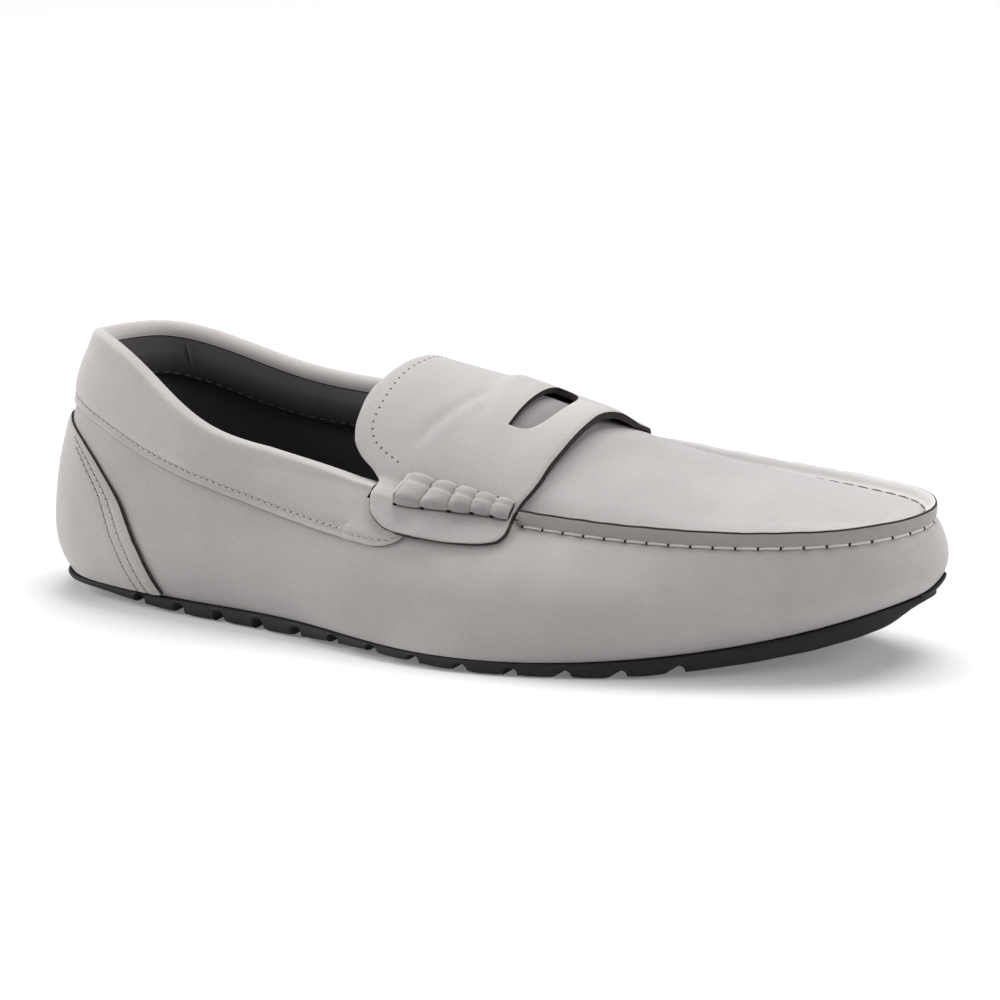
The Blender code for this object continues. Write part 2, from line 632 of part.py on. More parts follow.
def build_collar():
    """Padded band over the top edge: an outer leg, a roll and an inner leg."""
    shell = Shell()
    last = float(angle_of(COLLAR_END))
    inside = [a for a in half_turn if a < last - 0.03]
    half = inside + [last]
    theta = np.array([-a for a in half[:0:-1]] + half)
    share = share_of(theta)
    table = np.array(COLLAR_EDGE)
    low = np.interp(share, table[:, 0], table[:, 1])
    fade = np.interp(share, [0.28, 0.38], [1.0, 0.35])
    top = ring("top", theta)
    way = ring_out("top", theta)
    up = np.array([0.0, 0.0, 1.0])
    gap = CLEARANCE
    lining = WALL + gap

    def outside(v, off):
        return wall(theta, v) + wall_out(theta, v) * off

    def lifted(out, rise):
        return top + way * out + up * (rise * COLLAR_ROLL * fade)[:, None]

    pad = (COLLAR_PAD * fade)[:, None]
    out = wall_out(theta, 1.0)
    rim = wall(theta, 1.0) - wall(theta, 0.97)
    rim = rim / np.linalg.norm(rim, axis=-1, keepdims=True)
    deep = below_top(theta, COLLAR_DEPTH)
    half_deep = below_top(theta, COLLAR_DEPTH * 0.45)
    nearly = below_top(theta, COLLAR_DEPTH * 0.9)
    rows = [
        outside(low, gap),
        outside(low, gap + COLLAR_LEATHER * 0.7),
        outside(low + (1.0 - low) * 0.25, gap + COLLAR_LEATHER),
        outside(low + (1.0 - low) * 0.60, gap + COLLAR_LEATHER),
        outside(low * 0.0 + 0.97, gap + COLLAR_LEATHER * 0.9),
        lifted(0.0015, 0.66),
        lifted(-0.0006, 1.0),
        lifted(-0.0030, 0.80),
        outside(half_deep, -lining - pad),
        outside(nearly, -lining - pad),
        outside(deep, -lining - 0.0012),
        outside(deep, -lining),
        outside(half_deep, -lining),
        top + rim * 0.00035 - out * lining,
        top + rim * 0.00035 + out * gap,
        outside(low + (1.0 - low) * 0.60, gap),
        outside(low + (1.0 - low) * 0.25, gap),
    ]
    loops = np.stack(rows, axis=1)
    indices = [shell.add(loop) for loop in loops]
    for one, two in zip(indices[:-1], indices[1:]):
        shell.strip(one, two, closed=True)
    shell.faces += cap_faces(indices[0]) + cap_faces(indices[-1])
    return shell


def cap_faces(loop):
    """Close the end of the collar: its section is a bent strip of matching sides."""
    pairs = [(1, 0), (2, 16), (3, 15), (4, 14), (5, 14), (6, 14), (7, 13), (8, 12), (9, 12),
             (10, 11)]
    faces = []
    for (a, b), (c, d) in zip(pairs[:-1], pairs[1:]):
        corners = [loop[a], loop[c], loop[d], loop[b]]
        kept = [p for i, p in enumerate(corners) if p not in corners[:i]]
        faces.append(kept)
    return faces


def build_flap(side):
    rows_out = []
    rows_in = []
    for share, low, high in FLAP_OUTLINE:
        theta = float(angle_of(share)) * side
        v = np.linspace(low, high, 6)
        point = wall(theta, v)
        way = wall_out(theta, v)
        rows_in.append(point + way * (CLEARANCE + 0.0002))
        rows_out.append(point + way * (CLEARANCE + 0.0002 + FLAP_LEATHER))
    return patch(rows_out, rows_in)


def saddle_lift(share, w):
    """The side tab stands off the wall where the collar's flap runs under it."""
    up_wall = np.where(w > 1.5, 3.0 - w, w)
    near = np.clip((0.535 - share) / 0.045, 0.0, 1.0)
    low = np.clip((1.02 - up_wall) / 0.07, 0.0, 1.0)
    near = near * near * (3.0 - 2.0 * near)
    low = low * low * (3.0 - 2.0 * low)
    return (FLAP_LEATHER + CLEARANCE + 0.0002) * near * low


def on_saddle(share, w, off):
    """Point above the cover, counted from the saddle's own underside."""
    share, w = np.broadcast_arrays(np.asarray(share, float), np.asarray(w, float))
    lift = (SEAT + saddle_lift(share, w) + off)[..., None]
    return cover(share, w) + cover_out(share, w) * lift


def build_saddle():
    rows_out = []
    rows_in = []
    for w, back, front in SADDLE_OUTLINE:
        share = np.linspace(back, front, 8)
        rows_in.append(on_saddle(share, w, 0.0))
        rows_out.append(on_saddle(share, w, SADDLE_LEATHER))
    return patch(rows_out, rows_in)


def build_slot():
    """Cutter for the half-moon slot, standing along the strap's own normal."""
    rim = []
    steps = 9
    for k in range(steps):
        w = SLOT_LEFT + (SLOT_RIGHT - SLOT_LEFT) * k / (steps - 1)
        rim.append((SLOT_BACK + 0.003 * math.sin(math.pi * k / (steps - 1)), w))
    for k in range(1, steps - 1):
        t = 1.0 - k / (steps - 1)
        bow = math.sin(math.pi * t) ** 0.25
        w = SLOT_LEFT + (SLOT_RIGHT - SLOT_LEFT) * t
        rim.append((SLOT_BACK + (SLOT_FRONT - SLOT_BACK) * bow, w))
    share = np.array([point[0] for point in rim])
    w = np.array([point[1] for point in rim])
    low = on_saddle(share, w, -0.0012)
    high = on_saddle(share, w, SADDLE_LEATHER + 0.0015)
    shell = Shell()
    one = shell.add(low)
    two = shell.add(high)
    shell.strip(one, two, closed=True)
    for loop in (one, two):
        left = loop[:steps]
        right = [loop[0]] + loop[:steps - 1:-1] + [loop[steps - 1]]
        shell.strip(left, right)
    return shell


def build_roll(medial):
    """Five stitched bulges in a row that taper to the toe, along the side seam."""
    shell = Shell()
    table = np.array(ROLL_CREASES)
    per_bulge = 4
    total = (len(ROLL_CREASES) - 1) * per_bulge
    loops = []
    for k in range(total + 1):
        share, w_low, w_high = (np.interp(k / per_bulge, np.arange(len(table)), table[:, i])
                                for i in range(3))
        swell = abs(math.sin(math.pi * (k % per_bulge) / per_bulge)) if 0 < k < total else 0.0
        fill = 0.62 + 0.38 * swell ** 0.7
        middle = (w_low + w_high) / 2.0
        half_w = (w_high - w_low) / 2.0 * (0.86 + 0.14 * swell)
        taper = 1.0 - 0.42 * k / total
        rows = []
        for j in range(7):
            a = math.pi * j / 6.0
            place = middle - half_w * math.cos(a)
            rise = 0.0005 + ROLL_THICK * taper * fill * math.sin(a) ** 0.8
            rows.append((place, rise))
        for place in (middle + half_w * 0.35, middle - half_w * 0.35):
            rows.append((place, 0.0))
        line = []
        for place, rise in rows:
            w = 3.0 - place if medial else place
            off = SADDLE_LEATHER + CLEARANCE + 0.0004 + rise
            line.append(on_saddle(share, w, off))
        loops.append(shell.add(np.array(line)))
    for one, two in zip(loops[:-1], loops[1:]):
        shell.strip(one, two, closed=True)
    for loop in (loops[0], loops[-1]):
        shell.face((loop[0], loop[1], loop[8]))
        shell.face((loop[1], loop[2], loop[8]))
        shell.face((loop[2], loop[3], loop[7], loop[8]))
        shell.face((loop[3], loop[4], loop[7]))
        shell.face((loop[4], loop[5], loop[7]))
        shell.face((loop[5], loop[6], loop[7]))
    return shell


def build_insole():
    shell = Shell()
    angles = np.linspace(0.0, math.pi, 25)
    theta = np.concatenate([angles, 2.0 * math.pi - angles[-2:0:-1]])
    edge = ring("feather", theta) - ring_out("feather", theta) * 0.0050
    low = edge.copy()
    low[:, 2] = floor_height(edge[:, 0]) + WALL + CLEARANCE
    high = low + np.array([0.0, 0.0, INSOLE_THICK])
    one = shell.add(low)
    two = shell.add(high)
    shell.strip(one, two, closed=True)
    count = len(theta)
    for loop, rows in ((one, low), (two, high)):
        middle = {}
        for k in range(1, 24):
            middle[k] = [rows[k] + (rows[count - k] - rows[k]) * f for f in (0.33, 0.67)]
        shell.fan_plate(loop, 24, middle)
    return shell


def all_shells():
    return {
        "upper": build_upper(),
        "outsole": build_outsole(),
        "insole": build_insole(),
        "collar": build_collar(),
        "heel_counter": build_counter(),
        "saddle": build_saddle(),
        "beef_roll_lateral": build_roll(False),
        "beef_roll_medial": build_roll(True),
        "guard_body": build_guard(),
        "toe_lip": build_toe_lip(),
        "flap_lateral": build_flap(1.0),
        "flap_medial": build_flap(-1.0),
        "slot_cutter": build_slot(),
    }


LOOKS = {
    "upper": ((0.38, 0.35, 0.345), 0.85),
    "outsole": ((0.018, 0.017, 0.018), 0.60),
    "insole": ((0.05, 0.047, 0.048), 0.80),
    "collar": ((0.42, 0.40, 0.395), 0.85),
    "heel_counter": ((0.42, 0.39, 0.385), 0.85),
    "saddle": ((0.47, 0.45, 0.445), 0.85),
    "beef_roll_lateral": ((0.40, 0.37, 0.365), 0.85),
    "beef_roll_medial": ((0.40, 0.37, 0.365), 0.85),
}
# these are joined to or cut from the pieces
HELPERS = ("guard_body", "toe_lip", "flap_lateral", "flap_medial", "slot_cutter")

for old in list(bpy.data.objects):
    bpy.data.objects.remove(old, do_unlink=True)

shells = all_shells()
# the origin is the middle of the shoe's own box, on the floor
everything = np.concatenate([np.array(s.points) for n, s in shells.items() if n != "slot_cutter"])
middle_x = (everything[:, 0].min() + everything[:, 0].max()) / 2.0
middle_y = (everything[:, 1].min() + everything[:, 1].max()) / 2.0
lowest = everything[:, 2].min()
for shell in shells.values():
    shell.points = (np.array(shell.points) - np.array([middle_x, middle_y, lowest])).tolist()

things = {}
for name, shell in shells.items():
    colour, roughness = LOOKS.get(name, (None, 0.8))
    things[name] = make_object(name, shell, colour, roughness)

join_or_cut(things["outsole"], things["guard_body"], "UNION")
join_or_cut(things["outsole"], things["toe_lip"], "UNION")
join_or_cut(things["collar"], things["flap_lateral"], "UNION")
join_or_cut(things["collar"], things["flap_medial"], "UNION")
join_or_cut(things["saddle"], things["slot_cutter"], "DIFFERENCE")
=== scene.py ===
"""Driving moccasin: the dressed model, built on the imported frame. Metres, +X to the toe, +Z up."""
import math

import bmesh
import bpy
import numpy as np
from mathutils import Matrix, Vector


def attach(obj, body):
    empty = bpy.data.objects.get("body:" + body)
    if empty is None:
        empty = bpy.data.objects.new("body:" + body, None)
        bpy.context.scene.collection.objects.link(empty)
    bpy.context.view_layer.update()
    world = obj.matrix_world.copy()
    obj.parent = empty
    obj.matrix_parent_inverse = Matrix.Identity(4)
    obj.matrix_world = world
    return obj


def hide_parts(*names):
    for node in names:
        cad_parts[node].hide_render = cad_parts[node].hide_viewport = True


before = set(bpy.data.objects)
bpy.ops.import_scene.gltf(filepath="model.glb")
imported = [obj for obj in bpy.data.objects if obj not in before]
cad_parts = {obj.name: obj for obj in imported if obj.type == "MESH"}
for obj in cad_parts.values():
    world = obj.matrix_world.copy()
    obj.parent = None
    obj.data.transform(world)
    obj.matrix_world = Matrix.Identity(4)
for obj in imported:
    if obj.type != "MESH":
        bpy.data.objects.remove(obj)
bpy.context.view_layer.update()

# ---------------------------------------------------------------- form of the last, as in the part
SHIFT = np.array([0.1375740682405947, -0.0032155112641136345, 0.0])
# Driving sizes of the last
LENGTH = 0.2785          # heel to toe over the widest line of the upper
BALL_WIDTH = 0.098       # width over the ball of the last
HEEL_HEIGHT = 0.074      # top edge of the upper at the back seam
WIDEST_HEIGHT = 0.021    # height of the widest line at the heel
SEAM_HEIGHT = 0.040      # raised seam around the toe
CROWN = 0.026            # rise of the instep above the seam beside the strap
WALL = 0.0020            # leather and lining together
MARGIN = 0.012           # upper turned in under the foot
CLEARANCE = 0.0003       # between neighbouring pieces
SEAT = 0.00045           # under a curved overlay
RIDGE_RISE = 0.0046      # raised seam above its stitch line
RIDGE_WIDTH = 0.0030     # raised seam, across
COLLAR_LEATHER = 0.0022
COLLAR_ROLL = 0.0038
COLLAR_PAD = 0.0036
COLLAR_DEPTH = 0.012
COUNTER_LEATHER = 0.0012
SADDLE_LEATHER = 0.0016
FLAP_LEATHER = 0.0010
INSOLE_THICK = 0.0030
SOLE_OUTSET = 0.0010
GUARD_THICK = 0.0010
LIP_THICK = 0.0009       # lip of the sole at the toe
LUG_PITCH = 0.015
LUG_GROOVE = 0.0045
LUG_DEPTH = 0.0030
LUG_COUNT = 13
FIRST_GROOVE = 0.0345
ROLL_THICK = 0.0046

# Shares of the length where the pieces change
THROAT = 0.430
COLLAR_END = 0.410
RIDGE_START = 0.5885     # raised seam beside the strap, lateral side
RIDGE_RAMP = 0.0050      # it is at full height after this
RIDGE_LATER = 0.0240     # it starts this much later on the medial side

# Sections of the last. Half widths are shares of BALL_WIDTH, lateral side first.
# share, feather lateral, feather medial, feather height (share of HEEL_HEIGHT),
# widest lateral, widest medial, widest height (share of WIDEST_HEIGHT),
# top lateral, top medial, rise of the top edge above SEAM_HEIGHT on each side (share of the way
# up to HEEL_HEIGHT), crown (share of CROWN)
SECTION_COLUMNS = ("share", "feather_l", "feather_m", "feather_z", "widest_l", "widest_m",
                   "widest_z", "top_l", "top_m", "rise_l", "rise_m", "crown")
SECTIONS = (
    (0.00, 0.000, 0.000, 0.080, 0.000, 0.000, 1.00, 0.000, 0.000, 1.010, 1.010, 0.30),
    (0.03, 0.178, 0.178, 0.078, 0.219, 0.217, 1.00, 0.156, 0.184, 1.055, 0.968, 0.55),
    (0.10, 0.256, 0.254, 0.071, 0.304, 0.296, 1.05, 0.250, 0.258, 0.860, 0.845, 0.77),
    (0.20, 0.305, 0.298, 0.067, 0.366, 0.343, 1.05, 0.332, 0.318, 0.468, 0.590, 1.00),
    (0.35, 0.388, 0.292, 0.071, 0.425, 0.362, 1.05, 0.338, 0.345, 0.270, 0.465, 0.93),
    (0.50, 0.502, 0.325, 0.058, 0.480, 0.400, 1.00, 0.354, 0.368, 0.087, 0.298, 0.87),
    (0.65, 0.475, 0.388, 0.058, 0.490, 0.455, 0.95, 0.362, 0.366, -0.006, 0.158, 0.60),
    (0.80, 0.326, 0.388, 0.102, 0.402, 0.432, 1.02, 0.320, 0.344, -0.034, 0.080, 0.30),
    (0.90, 0.182, 0.325, 0.168, 0.280, 0.367, 1.16, 0.236, 0.288, -0.026, 0.064, 0.18),
    (0.97, 0.050, 0.258, 0.240, 0.145, 0.280, 1.35, 0.128, 0.213, 0.010, 0.056, 0.07),
    (1.00, -0.122, 0.122, 0.273, -0.094, 0.094, 1.43, -0.072, 0.072, 0.024, 0.024, 0.00),
)
# Where each ring starts and ends along X, as shares of LENGTH
FEATHER_SPAN = (0.010, 0.984)
WIDEST_SPAN = (-0.004, 1.003)
TOP_SPAN = (0.045, 0.995)

# Underside of the sole above the floor: share of the length, share of HEEL_HEIGHT
SOLE_LINE = (
    (0.00, 0.060), (0.03, 0.055), (0.07, 0.043), (0.10, 0.030), (0.14, 0.014), (0.18, 0.004),
    (0.21, 0.000), (0.31, 0.000), (0.35, 0.006), (0.39, 0.018), (0.44, 0.024), (0.49, 0.017),
    (0.54, 0.006), (0.58, 0.000), (0.71, 0.000), (0.75, 0.010), (0.80, 0.031), (0.85, 0.058),
    (0.90, 0.095), (0.94, 0.138), (0.97, 0.180), (1.00, 0.222),
)
# Saddle outline: w counts up the lateral wall to 1, over the instep to 2, down the medial wall
SADDLE_OUTLINE = (
    (0.771, 0.470, 0.492), (0.779, 0.459, 0.512), (0.796, 0.449, 0.536), (0.817, 0.441, 0.560),
    (0.845, 0.433, 0.577), (0.890, 0.426, 0.585), (0.945, 0.420, 0.586), (1.000, 0.417, 0.584),
    (1.030, 0.416, 0.584), (1.055, 0.407, 0.586), (1.075, 0.391, 0.589), (1.100, 0.379, 0.594),
    (1.135, 0.373, 0.599), (1.200, 0.371, 0.604), (1.275, 0.373, 0.610), (1.350, 0.380, 0.614),
    (1.425, 0.386, 0.617), (1.500, 0.391, 0.619), (1.575, 0.394, 0.624), (1.650, 0.394, 0.631),
    (1.725, 0.390, 0.638), (1.800, 0.384, 0.640), (1.865, 0.379, 0.631), (1.900, 0.384, 0.619),
    (1.925, 0.394, 0.611), (1.945, 0.407, 0.608), (1.970, 0.415, 0.607), (2.000, 0.418, 0.607),
    (2.055, 0.421, 0.608), (2.110, 0.426, 0.606), (2.155, 0.434, 0.599), (2.185, 0.443, 0.586),
    (2.204, 0.452, 0.571), (2.221, 0.463, 0.549), (2.229, 0.476, 0.527),
)
# Half-moon slot in the strap: straight back edge, bowed front edge
SLOT_BACK = 0.539
SLOT_FRONT = 0.580
SLOT_LEFT = 1.302
SLOT_RIGHT = 1.700
# Stitched bulges of the roll: each row is a crease, w from its lower to its upper hole
ROLL_CREASES = (
    (0.4545, 0.917, 1.078), (0.4865, 0.935, 1.078), (0.5148, 0.963, 1.079),
    (0.5395, 0.984, 1.076), (0.5632, 0.991, 1.073), (0.5830, 0.988, 1.070),
)
# Heel counter: height up the wall, half angle in degrees
COUNTER_EDGE = (
    (0.03, 47.2), (0.13, 46.9), (0.25, 46.2), (0.38, 44.8), (0.48, 42.6), (0.56, 39.8),
    (0.625, 35.4), (0.68, 30.0), (0.725, 22.8), (0.755, 14.5),
)
# Lower edge of the collar band: share of the length, height up the wall
COLLAR_EDGE = (
    (0.00, 0.805), (0.030, 0.796), (0.056, 0.784), (0.097, 0.772), (0.135, 0.772), (0.181, 0.780),
    (0.225, 0.777), (0.273, 0.751), (0.324, 0.709), (0.374, 0.676), (0.410, 0.664), (0.45, 0.662),
)
# Front flap of the collar band that runs under the saddle's side tab
FLAP_OUTLINE = (
    (0.392, 0.671, 0.930), (0.410, 0.664, 0.930), (0.430, 0.662, 0.930), (0.450, 0.667, 0.930),
    (0.463, 0.692, 0.930), (0.473, 0.735, 0.930), (0.479, 0.785, 0.920),
)
TURN = 2.0 * math.pi
UP = np.array([0.0, 0.0, 1.0])
SHELF = 0.05             # share of the instep that spans from the top edge to the seam's foot


def smooth(t):
    t = np.clip(t, 0.0, 1.0)
    return t * t * (3.0 - 2.0 * t)


def bump(x, width):
    return np.exp(-(np.asarray(x) / width) ** 2)


def unit(way):
    return way / np.linalg.norm(way, axis=-1, keepdims=True)


def even(one, two):
    return np.broadcast_arrays(np.asarray(one, float), np.asarray(two, float))


def look_up(table, at, index=1):
    rows = np.array(table)
    return np.interp(at, rows[:, 0], rows[:, index])


def smooth_table(table, at, index):
    """Smooth curve through the rows of an outline table."""
    rows = np.array(table)
    x, y = rows[:, 0], rows[:, index]
    slope = np.gradient(y, x)
    at = np.clip(at, x[0], x[-1])
    k = np.clip(np.searchsorted(x, at, side="right") - 1, 0, len(x) - 2)
    h = x[k + 1] - x[k]
    t = (at - x[k]) / h
    return ((2 * t ** 3 - 3 * t ** 2 + 1) * y[k] + (t ** 3 - 2 * t ** 2 + t) * h * slope[k]
            + (-2 * t ** 3 + 3 * t ** 2) * y[k + 1] + (t ** 3 - t ** 2) * h * slope[k + 1])


def angle_of(share):
    return np.arccos(1.0 - 2.0 * np.clip(share, 0.0, 1.0))


def share_of(theta):
    return (1.0 - np.cos(theta)) / 2.0


def full_turn(half):
    """Angles down the lateral side, then back up the medial side."""
    return np.concatenate([half, TURN - half[-2:0:-1]])


def closed_spline(knots, values):
    """Periodic cubic through the section rows, one turn around the last."""
    ends = np.append(knots, knots[0] + TURN)
    gaps = np.diff(ends)
    count = len(knots)
    before = np.roll(gaps, 1)
    matrix = (np.diag(2.0 * (before + gaps)) + np.roll(np.diag(before), -1, axis=1)
              + np.roll(np.diag(gaps), 1, axis=1))
    rise = (np.roll(values, -1) - values) / gaps
    bend = np.linalg.solve(matrix, 6.0 * (rise - np.roll(rise, 1)))

    def value(theta):
        q = np.mod(np.asarray(theta, float) - knots[0], TURN) + knots[0]
        i = np.clip(np.searchsorted(knots, q, side="right") - 1, 0, count - 1)
        j = (i + 1) % count
        a = (ends[i + 1] - q) / gaps[i]
        b = 1.0 - a
        curve = ((a ** 3 - a) * bend[i] + (b ** 3 - b) * bend[j]) * gaps[i] ** 2 / 6.0
        return a * values[i] + b * values[j] + curve

    return value


def column(name):
    return np.array([row[SECTION_COLUMNS.index(name)] for row in SECTIONS])


def around(lateral, medial):
    knots = full_turn(angle_of(column("share")))
    return closed_spline(knots, np.concatenate([lateral, medial[-2:0:-1]]))


def level(name, size):
    return around(column(name) * size, column(name) * size)


def top_height(rise):
    return SEAM_HEIGHT + rise * (HEEL_HEIGHT - SEAM_HEIGHT)


RING_Y = {name: around(-column(name + "_l") * BALL_WIDTH, column(name + "_m") * BALL_WIDTH)
          for name in ("feather", "widest", "top")}
RING_Z = {
    "feather": level("feather_z", HEEL_HEIGHT),
    "widest": level("widest_z", WIDEST_HEIGHT),
    "top": around(top_height(column("rise_l")), top_height(column("rise_m"))),
}
RING_SPAN = {"feather": FEATHER_SPAN, "widest": WIDEST_SPAN, "top": TOP_SPAN}
CROWN_AT = level("crown", CROWN)


def ring(name, theta):
    theta = np.asarray(theta, float)
    first, last = RING_SPAN[name]
    x = LENGTH * (first + (last - first) * share_of(theta))
    return np.stack([x, RING_Y[name](theta), RING_Z[name](theta)], -1)


def ring_out(name, theta):
    """Unit vector out of a ring, level with the floor."""
    step = 0.002
    run = ring(name, theta + step) - ring(name, theta - step)
    return unit(np.stack([run[..., 1], -run[..., 0], np.zeros_like(run[..., 0])], -1))


def floor_height(x):
    """Height of the sole's upper face at a place along the shoe."""
    first, last = FEATHER_SPAN
    return RING_Z["feather"](angle_of((np.asarray(x) / LENGTH - first) / (last - first)))


def sole_rise(x):
    return look_up(SOLE_LINE, np.clip(np.asarray(x) / LENGTH, 0.0, 1.0)) * HEEL_HEIGHT


def wall(theta, v):
    """Outside of the upper: v is 0 at the feather edge, 0.4 at the widest line, 1 at the top."""
    theta, v = even(theta, v)
    foot, wide, top = ring("feather", theta), ring("widest", theta), ring("top", theta)
    low = np.clip(v / 0.4, 0.0, 1.0)[..., None]
    high = np.clip((v - 0.4) / 0.6, 0.0, 1.0)[..., None]
    point = foot + (wide - foot) * low + (top - wide) * high
    swell = 1.0 - (1.0 - low) ** 2.2
    flat = foot + (wide - foot) * swell + (top - wide) * high ** 1.7
    point[..., :2] = flat[..., :2]
    return point


def ridge_share(theta):
    """0 beside the strap, 1 where the raised seam shows."""
    later = np.where(np.sin(theta) < 0.0, RIDGE_LATER, 0.0)
    return smooth((share_of(theta) - RIDGE_START - later) / RIDGE_RAMP)


def foot_lift(theta):
    """Rise of the vamp over the width of the seam, a little less at the toe."""
    return 0.0024 - 0.0003 * smooth((share_of(theta) - 0.56) / 0.16)


def seam_foot(theta):
    """Foot of the raised seam on its inner side, where the apron begins."""
    point = ring("top", theta) - ring_out("top", theta) * RIDGE_WIDTH
    point[..., 2] += foot_lift(theta)
    return point


def plug(theta, u):
    """Top of the vamp between the two seams, with the crown of the instep."""
    theta, u = even(theta, u)
    one, two = seam_foot(theta), seam_foot(TURN - theta)
    point = one + (two - one) * u[..., None]
    arch = np.clip(1.0 - (2.0 * u - 1.0) ** 2, 0.0, 1.0) ** 0.9
    point[..., 2] += np.maximum(CROWN_AT(theta) - foot_lift(theta), 0.0) * arch
    return point


def cover(share, w):
    """Outside of the whole upper across one section, from the lateral feather to the medial."""
    share, w = even(share, w)
    theta = angle_of(share)
    back = TURN - theta
    at = w[..., None]

    def shelf(angle, part):
        part = np.clip(part / SHELF, 0.0, 1.0)
        return ring("top", angle) * (1.0 - part) + seam_foot(angle) * part

    top = plug(theta, np.clip((w - 1.0 - SHELF) / (1.0 - 2.0 * SHELF), 0.0, 1.0))
    point = np.where(at <= 1.0 + SHELF, shelf(theta, at - 1.0), top)
    point = np.where(at >= 2.0 - SHELF, shelf(back, 2.0 - at), point)
    point = np.where(at <= 1.0, wall(theta, np.clip(w, 0.0, 1.0)), point)
    return np.where(at >= 2.0, wall(back, np.clip(3.0 - w, 0.0, 1.0)), point)


def cover_out(share, w):
    """Unit vector out of the cover."""
    along = cover(share + 0.004, w) - cover(share - 0.004, w)
    return unit(np.cross(along, cover(share, w + 0.03) - cover(share, w - 0.03)))


def wall_out(theta, v):
    """Unit vector out of the wall."""
    v = np.clip(v, 0.0, 1.0)
    along = wall(theta + 0.01, v) - wall(theta - 0.01, v)
    up = wall(theta, np.clip(v + 0.02, 0.0, 1.0)) - wall(theta, np.clip(v - 0.02, 0.0, 1.0))
    return unit(np.cross(along, up))


# ---------------------------------------------------------------- mesh helpers
def side_of(grid, end):
    """One side of a grid of indices, across its rows."""
    return [row[end] for row in grid]


class Skin:
    """Points and faces with a material number for each face."""

    def __init__(self):
        self.points, self.faces, self.marks = [], [], []
        self.count = 0

    def add(self, rows):
        rows = np.asarray(rows, float).reshape(-1, 3)
        self.points.append(rows)
        self.count += len(rows)
        return np.arange(self.count - len(rows), self.count)

    def face(self, corners, mark=0):
        kept = list(dict.fromkeys(int(corner) for corner in corners))
        if len(kept) > 2:
            self.faces.append(kept)
            self.marks.append(mark)

    def strip(self, one, two, mark=0, closed=False):
        for i in range(len(one) if closed else len(one) - 1):
            j = (i + 1) % len(one)
            self.face((one[i], one[j], two[j], two[i]), mark)

    def fan(self, tip, row, mark=0):
        for one, two in zip(row[:-1], row[1:]):
            self.face((tip, one, two), mark)

    def sheet(self, grid, mark=0, closed=False):
        """Grid of indices, rows by columns."""
        for one, two in zip(grid[:-1], grid[1:]):
            self.strip(one, two, mark, closed)

    def shell(self, outer, inner, low=0, high=0, side=0):
        """Two sheets joined at their edges, each edge with its mark; low is None when open."""
        self.sheet(outer)
        self.sheet(inner)
        if low is None:
            self.strip(inner[-1], outer[-1], high)
        else:
            self.strip(inner[0], outer[0], low)
            self.strip(outer[-1], inner[-1], high)
        self.strip(side_of(outer, 0), side_of(inner, 0), side)
        self.strip(side_of(inner, -1), side_of(outer, -1), side)

    def cap(self, ids, edge, steps, bend):
        """Fill a closed loop with lines from its lateral to its medial side."""
        parts = np.linspace(0.0, 1.0, steps)[1:-1]
        count = len(ids)
        lines = []
        for k in range(1, count // 2):
            line = edge[k] + (edge[count - k] - edge[k]) * parts[:, None]
            line[:, 2] = bend(line, parts)
            lines.append(np.concatenate([[ids[k]], self.add(line), [ids[count - k]]]))
        self.fan(ids[0], lines[0])
        self.sheet(lines)
        self.fan(ids[count // 2], lines[-1][::-1])


def link(name, data):
    thing = bpy.data.objects.new(name, data)
    bpy.context.scene.collection.objects.link(thing)
    return thing


def make(name, skin, materials, angle=50.0):
    mesh = bpy.data.meshes.new(name)
    mesh.from_pydata((np.concatenate(skin.points) - SHIFT).tolist(), [], skin.faces)
    for material in materials:
        mesh.materials.append(material)
    mesh.polygons.foreach_set("material_index", skin.marks)
    work = bmesh.new()
    work.from_mesh(mesh)
    bmesh.ops.recalc_face_normals(work, faces=work.faces)
    work.to_mesh(mesh)
    work.free()
    mesh.shade_smooth()
    mesh.set_sharp_from_angle(angle=math.radians(angle))
    thing = link(name, mesh)
    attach(thing, "root")
    return thing


def waves(points, seed, scale, octaves=3):
    """Soft repeatable unevenness from crossed sine waves."""
    rng = np.random.default_rng(seed)
    total = np.zeros(points.shape[:-1])
    weight = 0.0
    for k in range(octaves):
        share = 0.55 ** k
        for _ in range(4):
            way = unit(rng.normal(size=3))
            phase = rng.uniform(0.0, 6.28)
            total += share * np.sin(points @ way * (TURN / (scale / (1.9 ** k))) + phase)
            weight += share
    return total / weight * 2.0


# ---------------------------------------------------------------- materials
def srgb(*values):
    steps = [value / 255.0 for value in values]
    return (*(c / 12.92 if c <= 0.04045 else ((c + 0.055) / 1.055) ** 2.4 for c in steps), 1.0)


def tint(colour, factor):
    return (*(min(c * factor, 1.0) for c in colour[:3]), 1.0)


def grey(value):
    return (value, value, value, 1.0)


def settle(node, values):
    for name, value in values.items():
        node.inputs[name].default_value = value


def nodes_of(name):
    material = bpy.data.materials.new(name)
    material.use_nodes = True
    tree = material.node_tree
    return material, tree, tree.nodes["Principled BSDF"]


def noise_node(tree, coords, scale, detail, rough):
    node = tree.nodes.new("ShaderNodeTexNoise")
    settle(node, {"Scale": scale, "Detail": detail, "Roughness": rough})
    tree.links.new(coords.outputs["Object"], node.inputs["Vector"])
    return node.outputs["Fac"]


def ramp_node(tree, source, stops):
    node = tree.nodes.new("ShaderNodeValToRGB")
    ramp = node.color_ramp
    ramp.elements[0].position, ramp.elements[0].color = stops[0]
    ramp.elements[1].position, ramp.elements[1].color = stops[-1]
    for place, colour in stops[1:-1]:
        ramp.elements.new(place).color = colour
    tree.links.new(source, node.inputs["Fac"])
    return node.outputs["Color"]


